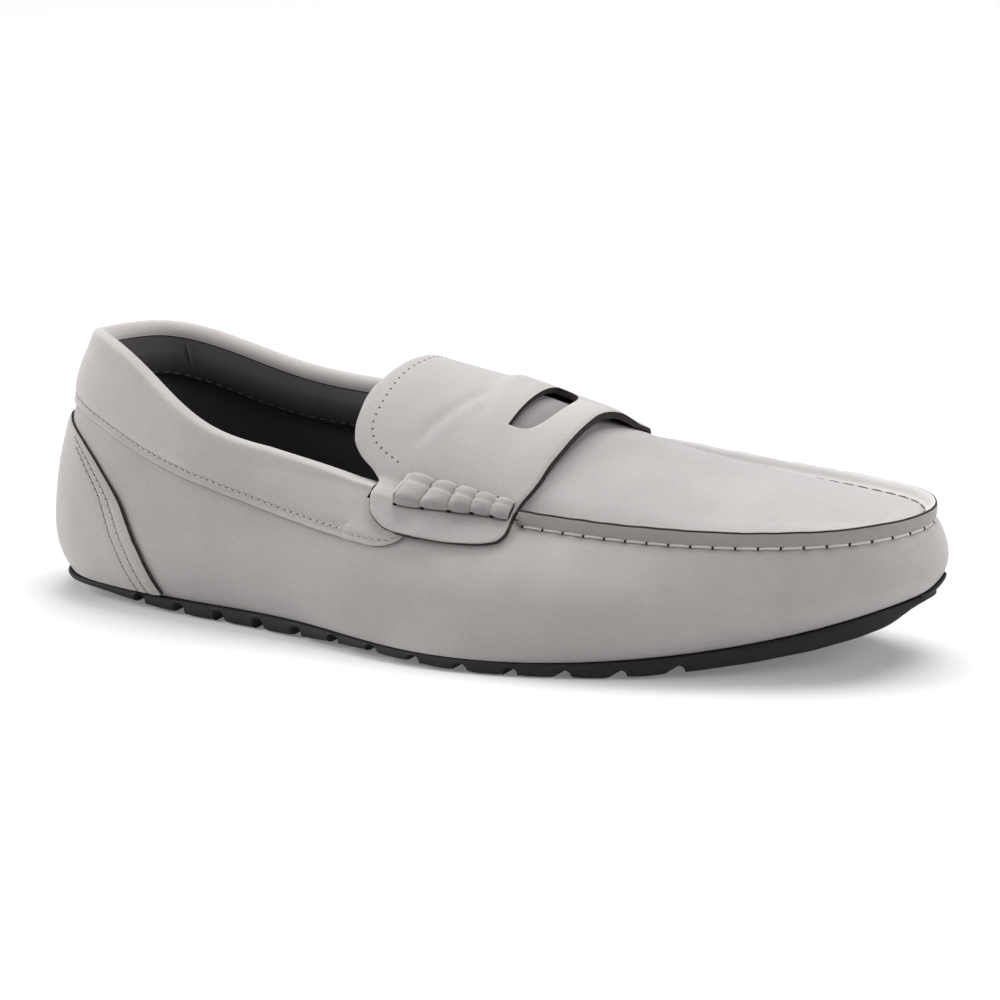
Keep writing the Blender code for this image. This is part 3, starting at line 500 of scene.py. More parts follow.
def mix_node(tree, kind, factor, one, two):
    node = tree.nodes.new("ShaderNodeMix")
    node.data_type = "RGBA"
    node.blend_type = kind
    node.inputs["Factor"].default_value = factor
    tree.links.new(one, node.inputs["A"])
    tree.links.new(two, node.inputs["B"])
    return node.outputs["Result"]


def bump_node(tree, source, strength, distance, under=None):
    node = tree.nodes.new("ShaderNodeBump")
    settle(node, {"Strength": strength, "Distance": distance})
    tree.links.new(source, node.inputs["Height"])
    if under is not None:
        tree.links.new(under, node.inputs["Normal"])
    return node.outputs["Normal"]


def leather(name, colour, rough=0.82, nap=0.00005, mottle=0.05, sheen=0.25):
    """Finely buffed leather: cloudy colour, fine pores and a short nap."""
    material, tree, shader = nodes_of(name)
    coords = tree.nodes.new("ShaderNodeTexCoord")
    cloud = noise_node(tree, coords, 38.0, 5.0, 0.55)
    base = ramp_node(tree, cloud, [(0.30, tint(colour, 1.0 - mottle * 1.6)), (0.52, colour),
                                   (0.72, tint(colour, 1.0 + mottle))])
    grain = ramp_node(tree, noise_node(tree, coords, 950.0, 3.0, 0.6),
                      [(0.36, grey(0.90)), (0.52, grey(1.0))])
    fine = bump_node(tree, noise_node(tree, coords, 1500.0, 4.0, 0.65), 0.55, nap)
    wide = bump_node(tree, noise_node(tree, coords, 130.0, 4.0, 0.5), 0.35, 0.00022, fine)
    shine = ramp_node(tree, cloud, [(0.3, grey(rough + 0.05)), (0.7, grey(rough - 0.05))])
    tree.links.new(mix_node(tree, "MULTIPLY", 0.55, base, grain), shader.inputs["Base Color"])
    tree.links.new(wide, shader.inputs["Normal"])
    tree.links.new(shine, shader.inputs["Roughness"])
    settle(shader, {"Sheen Weight": sheen, "Sheen Roughness": 0.55, "Specular IOR Level": 0.30})
    return material


def plain(name, colour, rough, spec=0.3, scale=600.0, depth=0.00006, spread=0.25):
    """Even material with a little colour spread and a fine bump."""
    material, tree, shader = nodes_of(name)
    coords = tree.nodes.new("ShaderNodeTexCoord")
    grain = noise_node(tree, coords, scale, 4.0, 0.6)
    base = ramp_node(tree, grain, [(0.3, tint(colour, 1.0 - spread)),
                                   (0.7, tint(colour, 1.0 + spread))])
    tree.links.new(base, shader.inputs["Base Color"])
    tree.links.new(bump_node(tree, grain, 0.5, depth), shader.inputs["Normal"])
    settle(shader, {"Roughness": rough, "Specular IOR Level": spec})
    return material


WALL_GREY = leather("upper_leather", srgb(158, 152, 151))
PLUG_GREY = leather("apron_leather", srgb(152, 146, 146))
# darker copy of the apron leather: painted shade where the apron lies under the strap and shows
# through the slot
SHADE_GREY = leather("apron_under_strap_painted_shade", srgb(122, 117, 117))
# darker copy of the wall leather on the outer face of the raised seam: painted shade
SHADED_STRIP_GREY = leather("seam_leather_painted_shade", srgb(138, 133, 130))
# lighter copy of the apron leather on the inner face of the raised seam: painted light
LIT_INNER_STRIP = leather("seam_inner_leather_painted_light", srgb(181, 178, 177))
SADDLE_GREY = leather("saddle_leather", srgb(156, 151, 150))
COLLAR_GREY = leather("collar_leather", srgb(161, 155, 154))
COUNTER_GREY = leather("counter_leather", srgb(160, 155, 153))
ROLL_GREY = leather("roll_leather", srgb(138, 133, 132))
# dark raw cut edges, also used for the painted shadow tube under the tabs
CUT_EDGE_AND_SHADOW = plain("cut_edge_and_shadow", srgb(46, 41, 40), 0.8, 0.2, 900.0, 0.00010, 0.35)
LINING = leather("lining_leather", srgb(76, 73, 74), 0.62, 0.00004, 0.08, 0.1)
DEEP_LINING = leather("inner_lining", srgb(76, 72, 73), 0.72, 0.00004, 0.08, 0.1)
THREAD = plain("thread", srgb(186, 181, 177), 0.7, 0.3, 2500.0, 0.00010, 0.12)
FINE_THREAD = plain("fine_thread", srgb(172, 167, 164), 0.7, 0.3, 2500.0, 0.00010, 0.20)
LINING_THREAD = plain("lining_thread", srgb(86, 82, 82), 0.7, 0.3, 2500.0, 0.00010, 0.15)
HOLE = plain("stitch_hole", srgb(30, 26, 26), 0.9, 0.1)
# dark stitch holes, also used for painted shadow lines and dark dashes
SOFT_HOLE_AND_SHADOW = plain("fine_hole_and_shadow", srgb(78, 73, 71), 0.9, 0.1)
RUBBER = plain("sole_rubber", srgb(30, 28, 30), 0.68, 0.28, 420.0, 0.00009, 0.12)
FOOTBED = leather("footbed_leather", srgb(50, 47, 48), 0.7, 0.00004, 0.08, 0.1)


# ---------------------------------------------------------------- stitches
def place_along(line, outs, spacing, margin=0.0):
    """Evenly spaced points on a line, with the direction out of the surface."""
    dist = np.concatenate([[0.0], np.cumsum(np.linalg.norm(np.diff(line, axis=0), axis=1))])
    run = dist[-1] - 2.0 * margin
    count = max(int(run / spacing), 1)
    at = margin + np.arange(count + 1) * (run / count)
    pick, out = (np.stack([np.interp(at, dist, rows[:, k]) for k in range(3)], 1)
                 for rows in (line, outs))
    return pick, unit(out)


def circle(way, beside, radius, sides):
    """Points of a circle square to a direction, around zero."""
    one = unit(np.cross(way, beside))
    two = np.cross(way, one)
    a = (np.arange(sides) * TURN / sides)[:, None]
    return radius * (np.cos(a) * one + np.sin(a) * two)


def tube(skin, path, radius, mark=0):
    run = unit(np.gradient(path, axis=0))
    radii = np.broadcast_to(radius, len(path))
    loops = [skin.add(point + circle(way, (0.3, 0.5, 0.81), r, 6))
             for point, way, r in zip(path, run, radii)]
    skin.sheet(loops, mark, True)
    skin.face(loops[0], mark)
    skin.face(loops[-1][::-1], mark)


def stitches(skin, line, outs, spacing, length, radius, sink):
    """Separate short stitches that dip into the leather at both ends."""
    dots, ways = place_along(line, outs, spacing)
    t = np.linspace(-0.5, 0.5, 7)
    rise = radius * 0.55 - sink * (2.0 * np.abs(t)) ** 3
    for k in range(len(dots) - 1):
        way = unit(dots[k + 1] - dots[k])
        out = unit(ways[k] + ways[k + 1])
        middle = (dots[k] + dots[k + 1]) / 2.0
        path = middle + way * (t * length)[:, None] + out * rise[:, None]
        tube(skin, path, radius * (1.0 - 0.35 * (2.0 * np.abs(t)) ** 4))
    return dots, ways


def holes(skin, dots, ways, radius, depth=0.30):
    """Dark mouths of the stitch holes, as low lens shapes in the leather."""
    for dot, way in zip(dots, ways):
        rim = dot + circle(way, (0.2, 0.9, 0.1), radius, 8)
        low = skin.add(rim - way * radius * 0.25)
        mid = skin.add(dot + (rim - dot) * 0.7 + way * radius * depth * 0.5)
        top, under = skin.add([dot + way * radius * depth, dot - way * radius * 0.6])
        skin.strip(low, mid, 0, True)
        skin.fan(top, np.append(mid, mid[0]))
        skin.fan(under, np.append(low, low[0])[::-1])


# spacing, length, radius and sink of each kind of stitch
SEAM_SPACING = 0.0063
INNER_LINE = (0.0052, 0.0044, 0.00012, 0.0002)
COLLAR_STITCH = (0.0023, 0.0016, 0.00030, 0.00045)
LINING_STITCH = (0.0034, 0.0027, 0.00022, 0.00040)
COUNTER_STITCH = (0.0021, 0.0014, 0.00028, 0.00042)


# ---------------------------------------------------------------- upper and its seam
# Foot of the raised seam on the outside, from strap to strap around the toe
SEAM_THETA = np.linspace(angle_of(RIDGE_START + 0.0005),
                         TURN - angle_of(RIDGE_START + RIDGE_LATER + 0.0005), 900)
SEAM_DOTS, SEAM_WAYS = place_along(ring("top", SEAM_THETA), wall_out(SEAM_THETA, 0.985),
                                   SEAM_SPACING, 0.002)
WALL_RUN = 0.028         # metres of wall for one unit of v, close to the seam


def near_dots(points, dots, width):
    """1 at a stitch hole, falling away over a width."""
    best = np.full(points.shape[:-1], 1.0)
    for dot in dots:
        best = np.minimum(best, np.linalg.norm(points - dot, axis=-1))
    return bump(best, width)


def wall_detail(theta, v, points):
    """Height of the wall's small forms: seam line, dimples at the holes and soft hollows."""
    share = share_of(theta)
    near_seam = bump((1.0 - v) * WALL_RUN, 0.0013) * smooth((share - 0.58) / 0.03)
    puff = bump((0.90 - v) * WALL_RUN, 0.0030) * smooth((share - 0.58) / 0.05)
    body = smooth((v - 0.05) / 0.2) * smooth((1.0 - v) / 0.12)
    soft = waves(points, 3, 0.060) * 0.00022 + waves(points, 5, 0.021, 2) * 0.00007
    dimple = near_dots(points, SEAM_DOTS, 0.0017)
    return -0.00035 * near_seam - 0.00045 * dimple + 0.00018 * puff + soft * body


UPPER_MATERIALS = [WALL_GREY, CUT_EDGE_AND_SHADOW, SHADED_STRIP_GREY, DEEP_LINING, PLUG_GREY, LIT_INNER_STRIP, SHADE_GREY]
WALL_MARK, CUT_MARK, STRIP_MARK, LINING_MARK, PLUG_MARK, INNER_MARK, SHADE_MARK = range(7)


def seam_rows_of(t, top, end):
    """Rows over the raised seam: outer strip, dark raw edge, inner strip and its foot."""
    way = ring_out("top", t)
    rise = ridge_share(t)[:, None]
    base = ring("top", t)
    wave = waves(base, 11, 0.016, 3)[:, None]
    tall = RIDGE_RISE + wave * 0.00018
    lean = 0.0005 + wave * 0.00016
    raised = []
    for k in range(1, 7):
        f = k / 6.0 * 0.92
        raised.append(base + way * (lean * f + 0.0003 * math.sin(math.pi * f)) + UP * tall * f)
    raised += [base + way * (lean - 0.0001) + UP * (tall + 0.00002),
               base + way * (lean - 0.0005) + UP * (tall + 0.00008),
               base - way * 0.0007 + UP * (tall - 0.00030)]
    crest = base - way * 0.0011 + UP * (tall - 0.00075)
    for k in range(1, 6):
        f = k / 6.0
        raised.append(crest + (end - crest) * f - UP * 0.00035 * math.sin(math.pi * f))
    rows = [(top + (end - top) * ((k + 1) / 16.0)) * (1.0 - rise) + point * rise
            for k, point in enumerate(raised)]
    # the outer strip takes the painted-shade copy of the wall leather, the inner strip the
    # painted-light copy of the apron leather
    return rows + [end - UP * 0.00035 * rise], [STRIP_MARK] * 6 + [CUT_MARK] * 2 + [INNER_MARK] * 7


def build_upper():
    back, front = 90, 220
    throat = angle_of(THROAT)
    theta = full_turn(np.concatenate([np.linspace(0.0, throat, back + 1),
                                      np.linspace(throat, math.pi, front + 1)[1:]]))
    count = len(theta)
    skin = Skin()
    foot = ring("feather", theta)
    out = ring_out("feather", theta)
    margin = foot - out * MARGIN
    margin[:, 2] = floor_height(margin[:, 0])
    outer = [margin, foot]
    for v in np.concatenate([np.linspace(0.0, 0.9, 30)[1:], np.linspace(0.9, 1.0, 12)[1:]]):
        point = wall(theta, v)
        outer.append(point + wall_out(theta, v) * wall_detail(theta, v, point)[:, None])
    corner = foot - out * WALL * 1.1
    corner[:, 2] = floor_height(corner[:, 0]) + WALL
    inner = [margin + UP * WALL, corner]
    for v in (0.09, 0.22, 0.40, 0.55, 0.70, 0.85, 1.0):
        inner.append(wall(theta, v) - wall_out(theta, v) * WALL)
    inner[2][:, 2] = np.maximum(inner[2][:, 2], corner[:, 2] + 0.0006)
    loops_out = [skin.add(rows) for rows in outer]
    loops_in = [skin.add(rows) for rows in inner]
    skin.sheet(loops_out, WALL_MARK, True)
    skin.sheet(loops_in[::-1], LINING_MARK, True)
    skin.strip(loops_in[0], loops_out[0], WALL_MARK, True)
    ahead = np.arange(back, count - back + 1)
    behind = np.arange(-back, back + 1)
    skin.strip(loops_out[-1][behind], loops_in[-1][behind], WALL_MARK)
    t = theta[ahead]
    end = seam_foot(t)
    rows, marks = seam_rows_of(t, outer[-1][ahead], end)
    under_top = inner[-1][ahead]
    under_end = end - UP * WALL - ring_out("top", t) * 0.0004
    seam_rows, seam_in = [loops_out[-1][ahead]], [loops_in[-1][ahead]]
    for k, (points, mark) in enumerate(zip(rows, marks)):
        seam_rows.append(skin.add(points))
        skin.strip(seam_rows[k], seam_rows[k + 1], mark)
        low = under_top + (under_end - under_top) * ((k + 1) / len(rows))
        seam_in.append(skin.add(low))
        skin.strip(seam_in[k + 1], seam_in[k], LINING_MARK)
    # apron
    u = np.concatenate([[0.012, 0.03], np.linspace(0.0, 1.0, 49)[2:-2], [0.97, 0.988]])
    mid = (len(ahead) - 1) // 2
    rows_out, rows_in = [], []
    for k in range(mid):
        line = plug(t[k], u)
        edge = np.minimum(u, 1.0 - u) * (np.linalg.norm(line[-1] - line[0]) + 1e-6)
        show = ridge_share(t[k])
        fall = bump(edge, 0.0016) * -0.00025 * show
        roll = bump(edge - 0.0042, 0.0030) * 0.00030 * show
        soft = waves(line, 7, 0.075) * 0.00022 + waves(line, 9, 0.026, 2) * 0.00006
        high = line.copy()
        high[:, 2] += fall + roll + soft * smooth(edge / 0.010)
        left, right = end[k], end[-1 - k]
        drop = line[:, 2] - (left[2] + (right[2] - left[2]) * u)
        low = under_end[k] + (under_end[-1 - k] - under_end[k]) * u[:, None]
        low[:, 2] += np.maximum(drop - 0.0004 * np.sin(u * math.pi), 0.0)
        for grid, ends, points in ((rows_out, seam_rows[-1], high), (rows_in, seam_in[-1], low)):
            grid.append(np.concatenate([[ends[k]], skin.add(points), [ends[-1 - k]]]))
    for grid, mark, tip in ((rows_out, PLUG_MARK, seam_rows[-1][mid]),
                            (rows_in, LINING_MARK, seam_in[-1][mid])):
        for k, (one, two) in enumerate(zip(grid[:-1], grid[1:])):
            # apron faces under the strap take the darker copy as painted shade
            strap_shade_mask = mark == PLUG_MARK and 0.50 < share_of(t[k]) < 0.583
            skin.strip(one, two, SHADE_MARK if strap_shade_mask else mark)
        skin.fan(tip, grid[-1], mark)
    rims = []
    for seam, grid in ((seam_rows, rows_out), (seam_in, rows_in)):
        rims.append(side_of(seam, 0) + list(grid[0][1:-1]) + side_of(seam[::-1], -1))
    skin.strip(rims[0], rims[1], CUT_MARK)
    thing = make("upper_skin", skin, UPPER_MATERIALS, 40.0)
    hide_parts("upper")


def build_seam_thread():
    """Thread that runs from hole to hole along the outside of the raised seam."""
    thread, dark, inside = Skin(), Skin(), Skin()
    line = SEAM_DOTS - SEAM_WAYS * 0.0003
    t = np.linspace(0.05, 0.95, 9)
    rise = 0.00040 - 0.00075 * np.abs(2.0 * t - 1.0) ** 5
    for k in range(len(line) - 1):
        out = unit(SEAM_WAYS[k] + SEAM_WAYS[k + 1])
        path = line[k] + (line[k + 1] - line[k]) * t[:, None] + out * rise[:, None]
        tube(thread, path, 0.00042)
    holes(dark, SEAM_DOTS, SEAM_WAYS, 0.00055, 0.25)
    # short dark dashes at the inner foot of the seam: the inner stitching, with painted shade of the
    # crease there
    theta = SEAM_THETA[8:-8]
    inward = -ring_out("top", theta)
    stitches(inside, seam_foot(theta) - inward * 0.0002, inward * 0.5 + UP * 0.87, *INNER_LINE)
    make("seam_inner_line", inside, [SOFT_HOLE_AND_SHADOW])
    make("seam_thread", thread, [THREAD])
    make("seam_holes", dark, [HOLE])


# ---------------------------------------------------------------- collar
def spline_rows(rows, per):
    """Smooth rows between control rows, each an array of points."""
    rows = [np.asarray(r) for r in rows]
    out = []
    for k in range(len(rows) - 1):
        a, b, c, d = rows[max(k - 1, 0)], rows[k], rows[k + 1], rows[min(k + 2, len(rows) - 1)]
        for i in range(per):
            t = i / per
            out.append(0.5 * (2.0 * b + (c - a) * t + (2.0 * a - 5.0 * b + 4.0 * c - d) * t ** 2
                              + (3.0 * b - a - 3.0 * c + d) * t ** 3))
    return out + [rows[-1]]


def wall_drop(theta):
    """Height of the wall from its widest line to its top edge."""
    return ring("top", theta)[..., 2] - ring("widest", theta)[..., 2]


def below_top(theta, depth):
    return 1.0 - 0.6 * depth / wall_drop(theta)


def on_wall(theta, v, off):
    """Points at a distance outside the wall."""
    return wall(theta, v) + wall_out(theta, v) * np.broadcast_to(off, theta.shape)[:, None]


def collar_body(theta):
    """Rows of the band from its lower edge over the roll and down the padded lining."""
    share = share_of(theta)
    low = look_up(COLLAR_EDGE, share)
    fade = np.interp(share, [0.28, 0.39], [1.0, 0.30])
    thick = COLLAR_LEATHER * np.interp(share, [0.30, 0.405], [1.0, 0.56])
    top = ring("top", theta)
    way = ring_out("top", theta)
    out = wall_out(theta, 1.0)
    lining = WALL + CLEARANCE
    soft = waves(top, 21, 0.030, 3)
    puff = 1.0 + 0.07 * soft

    def lifted(move, rise):
        return top + way * move + UP * (rise * COLLAR_ROLL * fade)[:, None]

    def leg(v, rise):
        return on_wall(theta, v, CLEARANCE + thick * rise)

    edge = 0.0016 * 0.6 / wall_drop(theta)
    seam_v = low + edge * 1.35
    rows = [leg(low, 0.42), leg(low + edge * 0.35, 0.52), leg(seam_v, 0.44),
            leg(seam_v + edge * 0.9, 0.78 * puff)]
    for part, rise in ((0.36, 1.0), (0.56, 1.10), (0.76, 1.08), (0.93, 0.98)):
        rows.append(leg(low + (0.985 - low) * part, rise * puff))
    for move, rise in ((0.0017, 0.60), (0.0008, 0.90), (-0.0006, 1.0), (-0.0021, 0.92),
                       (-0.0033, 0.64), (-0.0040, 0.28)):
        rows.append(lifted(move, rise))
    join = lifted(-0.0042, -0.04)
    inner = [lifted(-0.0045, -0.10)]
    for part, amount in ((0.14, 0.85), (0.32, 1.06), (0.55, 1.12), (0.78, 0.95), (0.93, 0.60),
                         (1.0, 0.12)):
        pad = COLLAR_PAD * fade * amount * (1.0 + 0.06 * soft)
        inner.append(on_wall(theta, below_top(theta, COLLAR_DEPTH * part), -lining - pad))
    tip = top + unit(wall(theta, 1.0) - wall(theta, 0.97)) * 0.00035
    back = [on_wall(theta, below_top(theta, COLLAR_DEPTH * part), -lining) for part in (1.0, 0.45)]
    back += [tip - out * lining, tip + out * CLEARANCE,
             on_wall(theta, low + (1.0 - low) * 0.5, CLEARANCE), on_wall(theta, low, CLEARANCE)]
    return rows, join, inner, back, seam_v


# Rows of the flap from its lower edge up: height above the edge (v), share of its thickness
FLAP_ROWS = ((0.0, 0.42), (0.008, 0.56), (0.020, 0.62), (0.034, 0.60), (0.041, 0.40), (0.049, 0.62),
             (0.066, 0.96), (0.095, 1.0), (0.14, 1.0), (0.19, 1.0), (0.24, 1.0), (0.30, 1.0))
FLAP_GROOVE = FLAP_ROWS[4]


def flap_row(theta, dv, fill):
    """Height up the wall and distance from it of one row of the flap."""
    share = share_of(theta)
    low = smooth_table(FLAP_OUTLINE, share, 1)
    room = np.clip((0.930 - low) / 0.27, 0.05, 1.0)
    tip = smooth((0.4795 - share) / 0.0045) * smooth((share - 0.404) / 0.010)
    lift = FLAP_LEATHER * 1.05 * fill * (0.6 + 0.4 * tip)
    return low + dv * 0.9 * room, CLEARANCE + 0.0002 + lift


def build_collar():
    last = angle_of(COLLAR_END + 0.004)
    theta = np.linspace(-last, last, 281)
    rows, join, inner, back, seam_v = collar_body(theta)
    skin = Skin()
    outer = spline_rows(rows + [join], 4)
    inside = spline_rows(inner, 5)
    groove = join + ring_out("top", theta) * 0.0006 - UP * 0.0005
    loops = [skin.add(r) for r in outer + [groove] + inside + back]
    marks = [1] + [0] * (len(outer) - 2) + [1, 1] + [2] * (len(inside) - 1 + len(back)) + [1]
    for k, mark in enumerate(marks):
        skin.strip(loops[k], loops[(k + 1) % len(loops)], mark)
    skin.face(side_of(loops[::-1], 0), 1)
    skin.face(side_of(loops, -1), 1)
    # flap under the side tabs
    share = np.linspace(0.398, 0.479, 44)
    for side in (1.0, -1.0):
        t = angle_of(share) * side
        grid_out, grid_in = [], []
        for dv, fill in FLAP_ROWS:
            v, off = flap_row(t, dv, fill)
            grid_in.append(skin.add(on_wall(t, v, CLEARANCE + 0.0002)))
            grid_out.append(skin.add(on_wall(t, v, off)))
        skin.shell(grid_out, grid_in, 1, 0, 0)
    thing = make("collar_band", skin, [COLLAR_GREY, CUT_EDGE_AND_SHADOW, LINING], 42.0)
    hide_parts("collar")
    # stitches along the lower edge, along the flaps and along the lining
    thread, dark, lining_thread = Skin(), Skin(), Skin()
    run = np.linspace(-last, last, 700)
    rows, join, inner, back, seam_v = collar_body(run)
    lines = [(rows[2], wall_out(run, seam_v))]
    for side in (1.0, -1.0):
        t = angle_of(np.linspace(COLLAR_END + 0.001, 0.468, 120)) * side
        v, off = flap_row(t, *FLAP_GROOVE)
        lines.append((on_wall(t, v, off), wall_out(t, v)))
    for path, out in lines:
        holes(dark, *stitches(thread, path, out, *COLLAR_STITCH), 0.00033)
    make("collar_thread", thread, [FINE_THREAD])
    make("collar_holes", dark, [SOFT_HOLE_AND_SHADOW])
    rows_in = spline_rows(inner, 5)
    pick = 4 * 5 + 2
    line = rows_in[pick]
    way = unit(np.cross(np.gradient(line, axis=0), rows_in[pick - 1] - rows_in[pick + 1]))
    way *= np.sign(np.sum(way * -ring_out("top", run), axis=1))[:, None]
    stitches(lining_thread, line, way, *LINING_STITCH)
    # upright seam in the lining on both sides of the heel
    down = np.linspace(0.03, 1.0, 40)
    swell = np.clip(np.sin(math.pi * np.clip(down * 0.86 + 0.14, 0.0, 1.0)), 0.1, 1.0) ** 0.35
    for side in (1.0, -1.0):
        angle = side * (0.49 + 0.10 * down)
        v = below_top(angle, COLLAR_DEPTH * down)
        path = on_wall(angle, v, -(WALL + CLEARANCE + COLLAR_PAD * 1.10 * swell))
        tube(lining_thread, path, 0.00024)
    make("lining_thread", lining_thread, [LINING_THREAD])


# ---------------------------------------------------------------- heel counter
COUNTER_INSETS = (0.0023, 0.0041)      # of the two stitch rows from the edge
COUNTER_TURN = 0.045                   # metres of edge for one radian
COUNTER_RISE = 0.055                   # metres of wall for one unit of v


def build_counter():
    heights = np.concatenate([np.linspace(0.03, 0.735, 56), [0.743, 0.750, 0.755]])
    across = np.linspace(-1.0, 1.0, 121)
    skin = Skin()
    rows_out, rows_in = [], []
    for value in heights:
        half = smooth_table(COUNTER_EDGE, value, 1)
        theta = np.radians(across * half)
        side_edge = (1.0 - np.abs(across)) * (half / 57.3 * COUNTER_TURN)
        edge = np.minimum(side_edge, (heights[-1] - value) * COUNTER_RISE)
        lift = COUNTER_LEATHER + waves(wall(theta, value), 31, 0.030, 2) * 0.00006
        lift = lift - 0.00050 * bump(edge, 0.0006)
        for inset in COUNTER_INSETS:
            lift = lift - 0.00020 * bump(edge - inset, 0.0004)
        wide = np.radians(across * (half + 0.25))
        under = min(value + 0.005, 0.99) if value > 0.75 else value
        rows_in.append(skin.add(on_wall(wide, under, SEAT)))
        rows_out.append(skin.add(on_wall(theta, value, SEAT + lift)))
    skin.shell(rows_out, rows_in, 1, 1, 1)
    thing = make("counter_patch", skin, [COUNTER_GREY, CUT_EDGE_AND_SHADOW], 40.0)
    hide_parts("heel_counter")
    thread, dark = Skin(), Skin()
    for inset in COUNTER_INSETS:
        path, out = [], []
        for side in (-1.0, 1.0):
            v = np.linspace(0.03, 0.755 - inset / COUNTER_RISE, 140)[::-int(side)]
            angle = side * (np.radians(smooth_table(COUNTER_EDGE, v, 1)) - inset / COUNTER_TURN)
            path.append(on_wall(angle, v, SEAT + COUNTER_LEATHER - 0.0001))
            out.append(wall_out(angle, v))
        sewn = stitches(thread, np.concatenate(path), np.concatenate(out), *COUNTER_STITCH)
        holes(dark, *sewn, 0.00032)
    make("counter_thread", thread, [FINE_THREAD])
    make("counter_holes", dark, [SOFT_HOLE_AND_SHADOW])


# ---------------------------------------------------------------- saddle
def on_saddle(share, w, off):
    """Points over the cover, lifted where the side tab covers the collar's flap."""
    share, w = even(share, w)
    up_wall = np.where(w > 1.5, 3.0 - w, w)
    lift = smooth((0.535 - share) / 0.045) * smooth((1.02 - up_wall) / 0.07)
    lift = SEAT + (FLAP_LEATHER + CLEARANCE + 0.0002) * lift + off
    return cover(share, w) + cover_out(share, w) * lift[..., None]


def saddle_back(w):
    return smooth_table(SADDLE_OUTLINE, w, 1)


def saddle_front(w):
    return smooth_table(SADDLE_OUTLINE, w, 2)


def saddle_form(share, w):
    """Small forms of the strap: lifted front edge, step over the tongue, soft creases."""
    behind = (share - saddle_back(w)) * LENGTH
    before = (saddle_front(w) - share) * LENGTH
    edge = np.minimum(behind, before)
    crown = smooth((w - 1.05) / 0.44) * smooth((1.94 - w) / 0.16)
    near_side = 0.12 + 0.88 * smooth((1.74 - w) / 0.24)
    stand = 0.0022 * crown * near_side * smooth(1.0 - before / 0.016)
    step = 0.0014 * crown * smooth((share - 0.492 + 0.05 * (w - 1.5)) / 0.016)
    reach = smooth((w - 1.12) / 0.06) * smooth((1.48 - w) / 0.12)
    slant = 0.167 * (w - 1.16)
    crease = 0.0003 * bump(share - 0.461 - slant, 0.0075)
    crease = crease - 0.0006 * bump(share - 0.450 - slant, 0.0055)
    soft = waves(cover(share, w), 41, 0.055, 3) * 0.00022 * smooth(edge / 0.006)
    far_side = smooth((w - 1.60) / 0.16) * smooth((1.97 - w) / 0.08)
    thin = 0.0019 * far_side * smooth(1.0 - before / 0.014)
    return stand + step + crease * reach + soft - 0.00030 * bump(edge, 0.0006) - thin


# Row of fine holes around the throat: share, w, from the roll up to the middle
THROAT_HOLES = ((0.433, 1.090), (0.4165, 1.103), (0.402, 1.120), (0.394, 1.145), (0.3905, 1.180),
                (0.3930, 1.270), (0.3970, 1.380), (0.4040, 1.500))


def tab_columns(low, slot_end):
    """Columns of the saddle from the lower edge of a tab up to the end of the slot."""
    return np.concatenate([low + np.array([0.0, 0.0025, 0.006, 0.011, 0.018]),
                           np.linspace(low + 0.026, 1.0, 34), np.linspace(1.0, 1.06, 10)[1:],
                           np.linspace(1.06, slot_end, 26)[1:-1]])


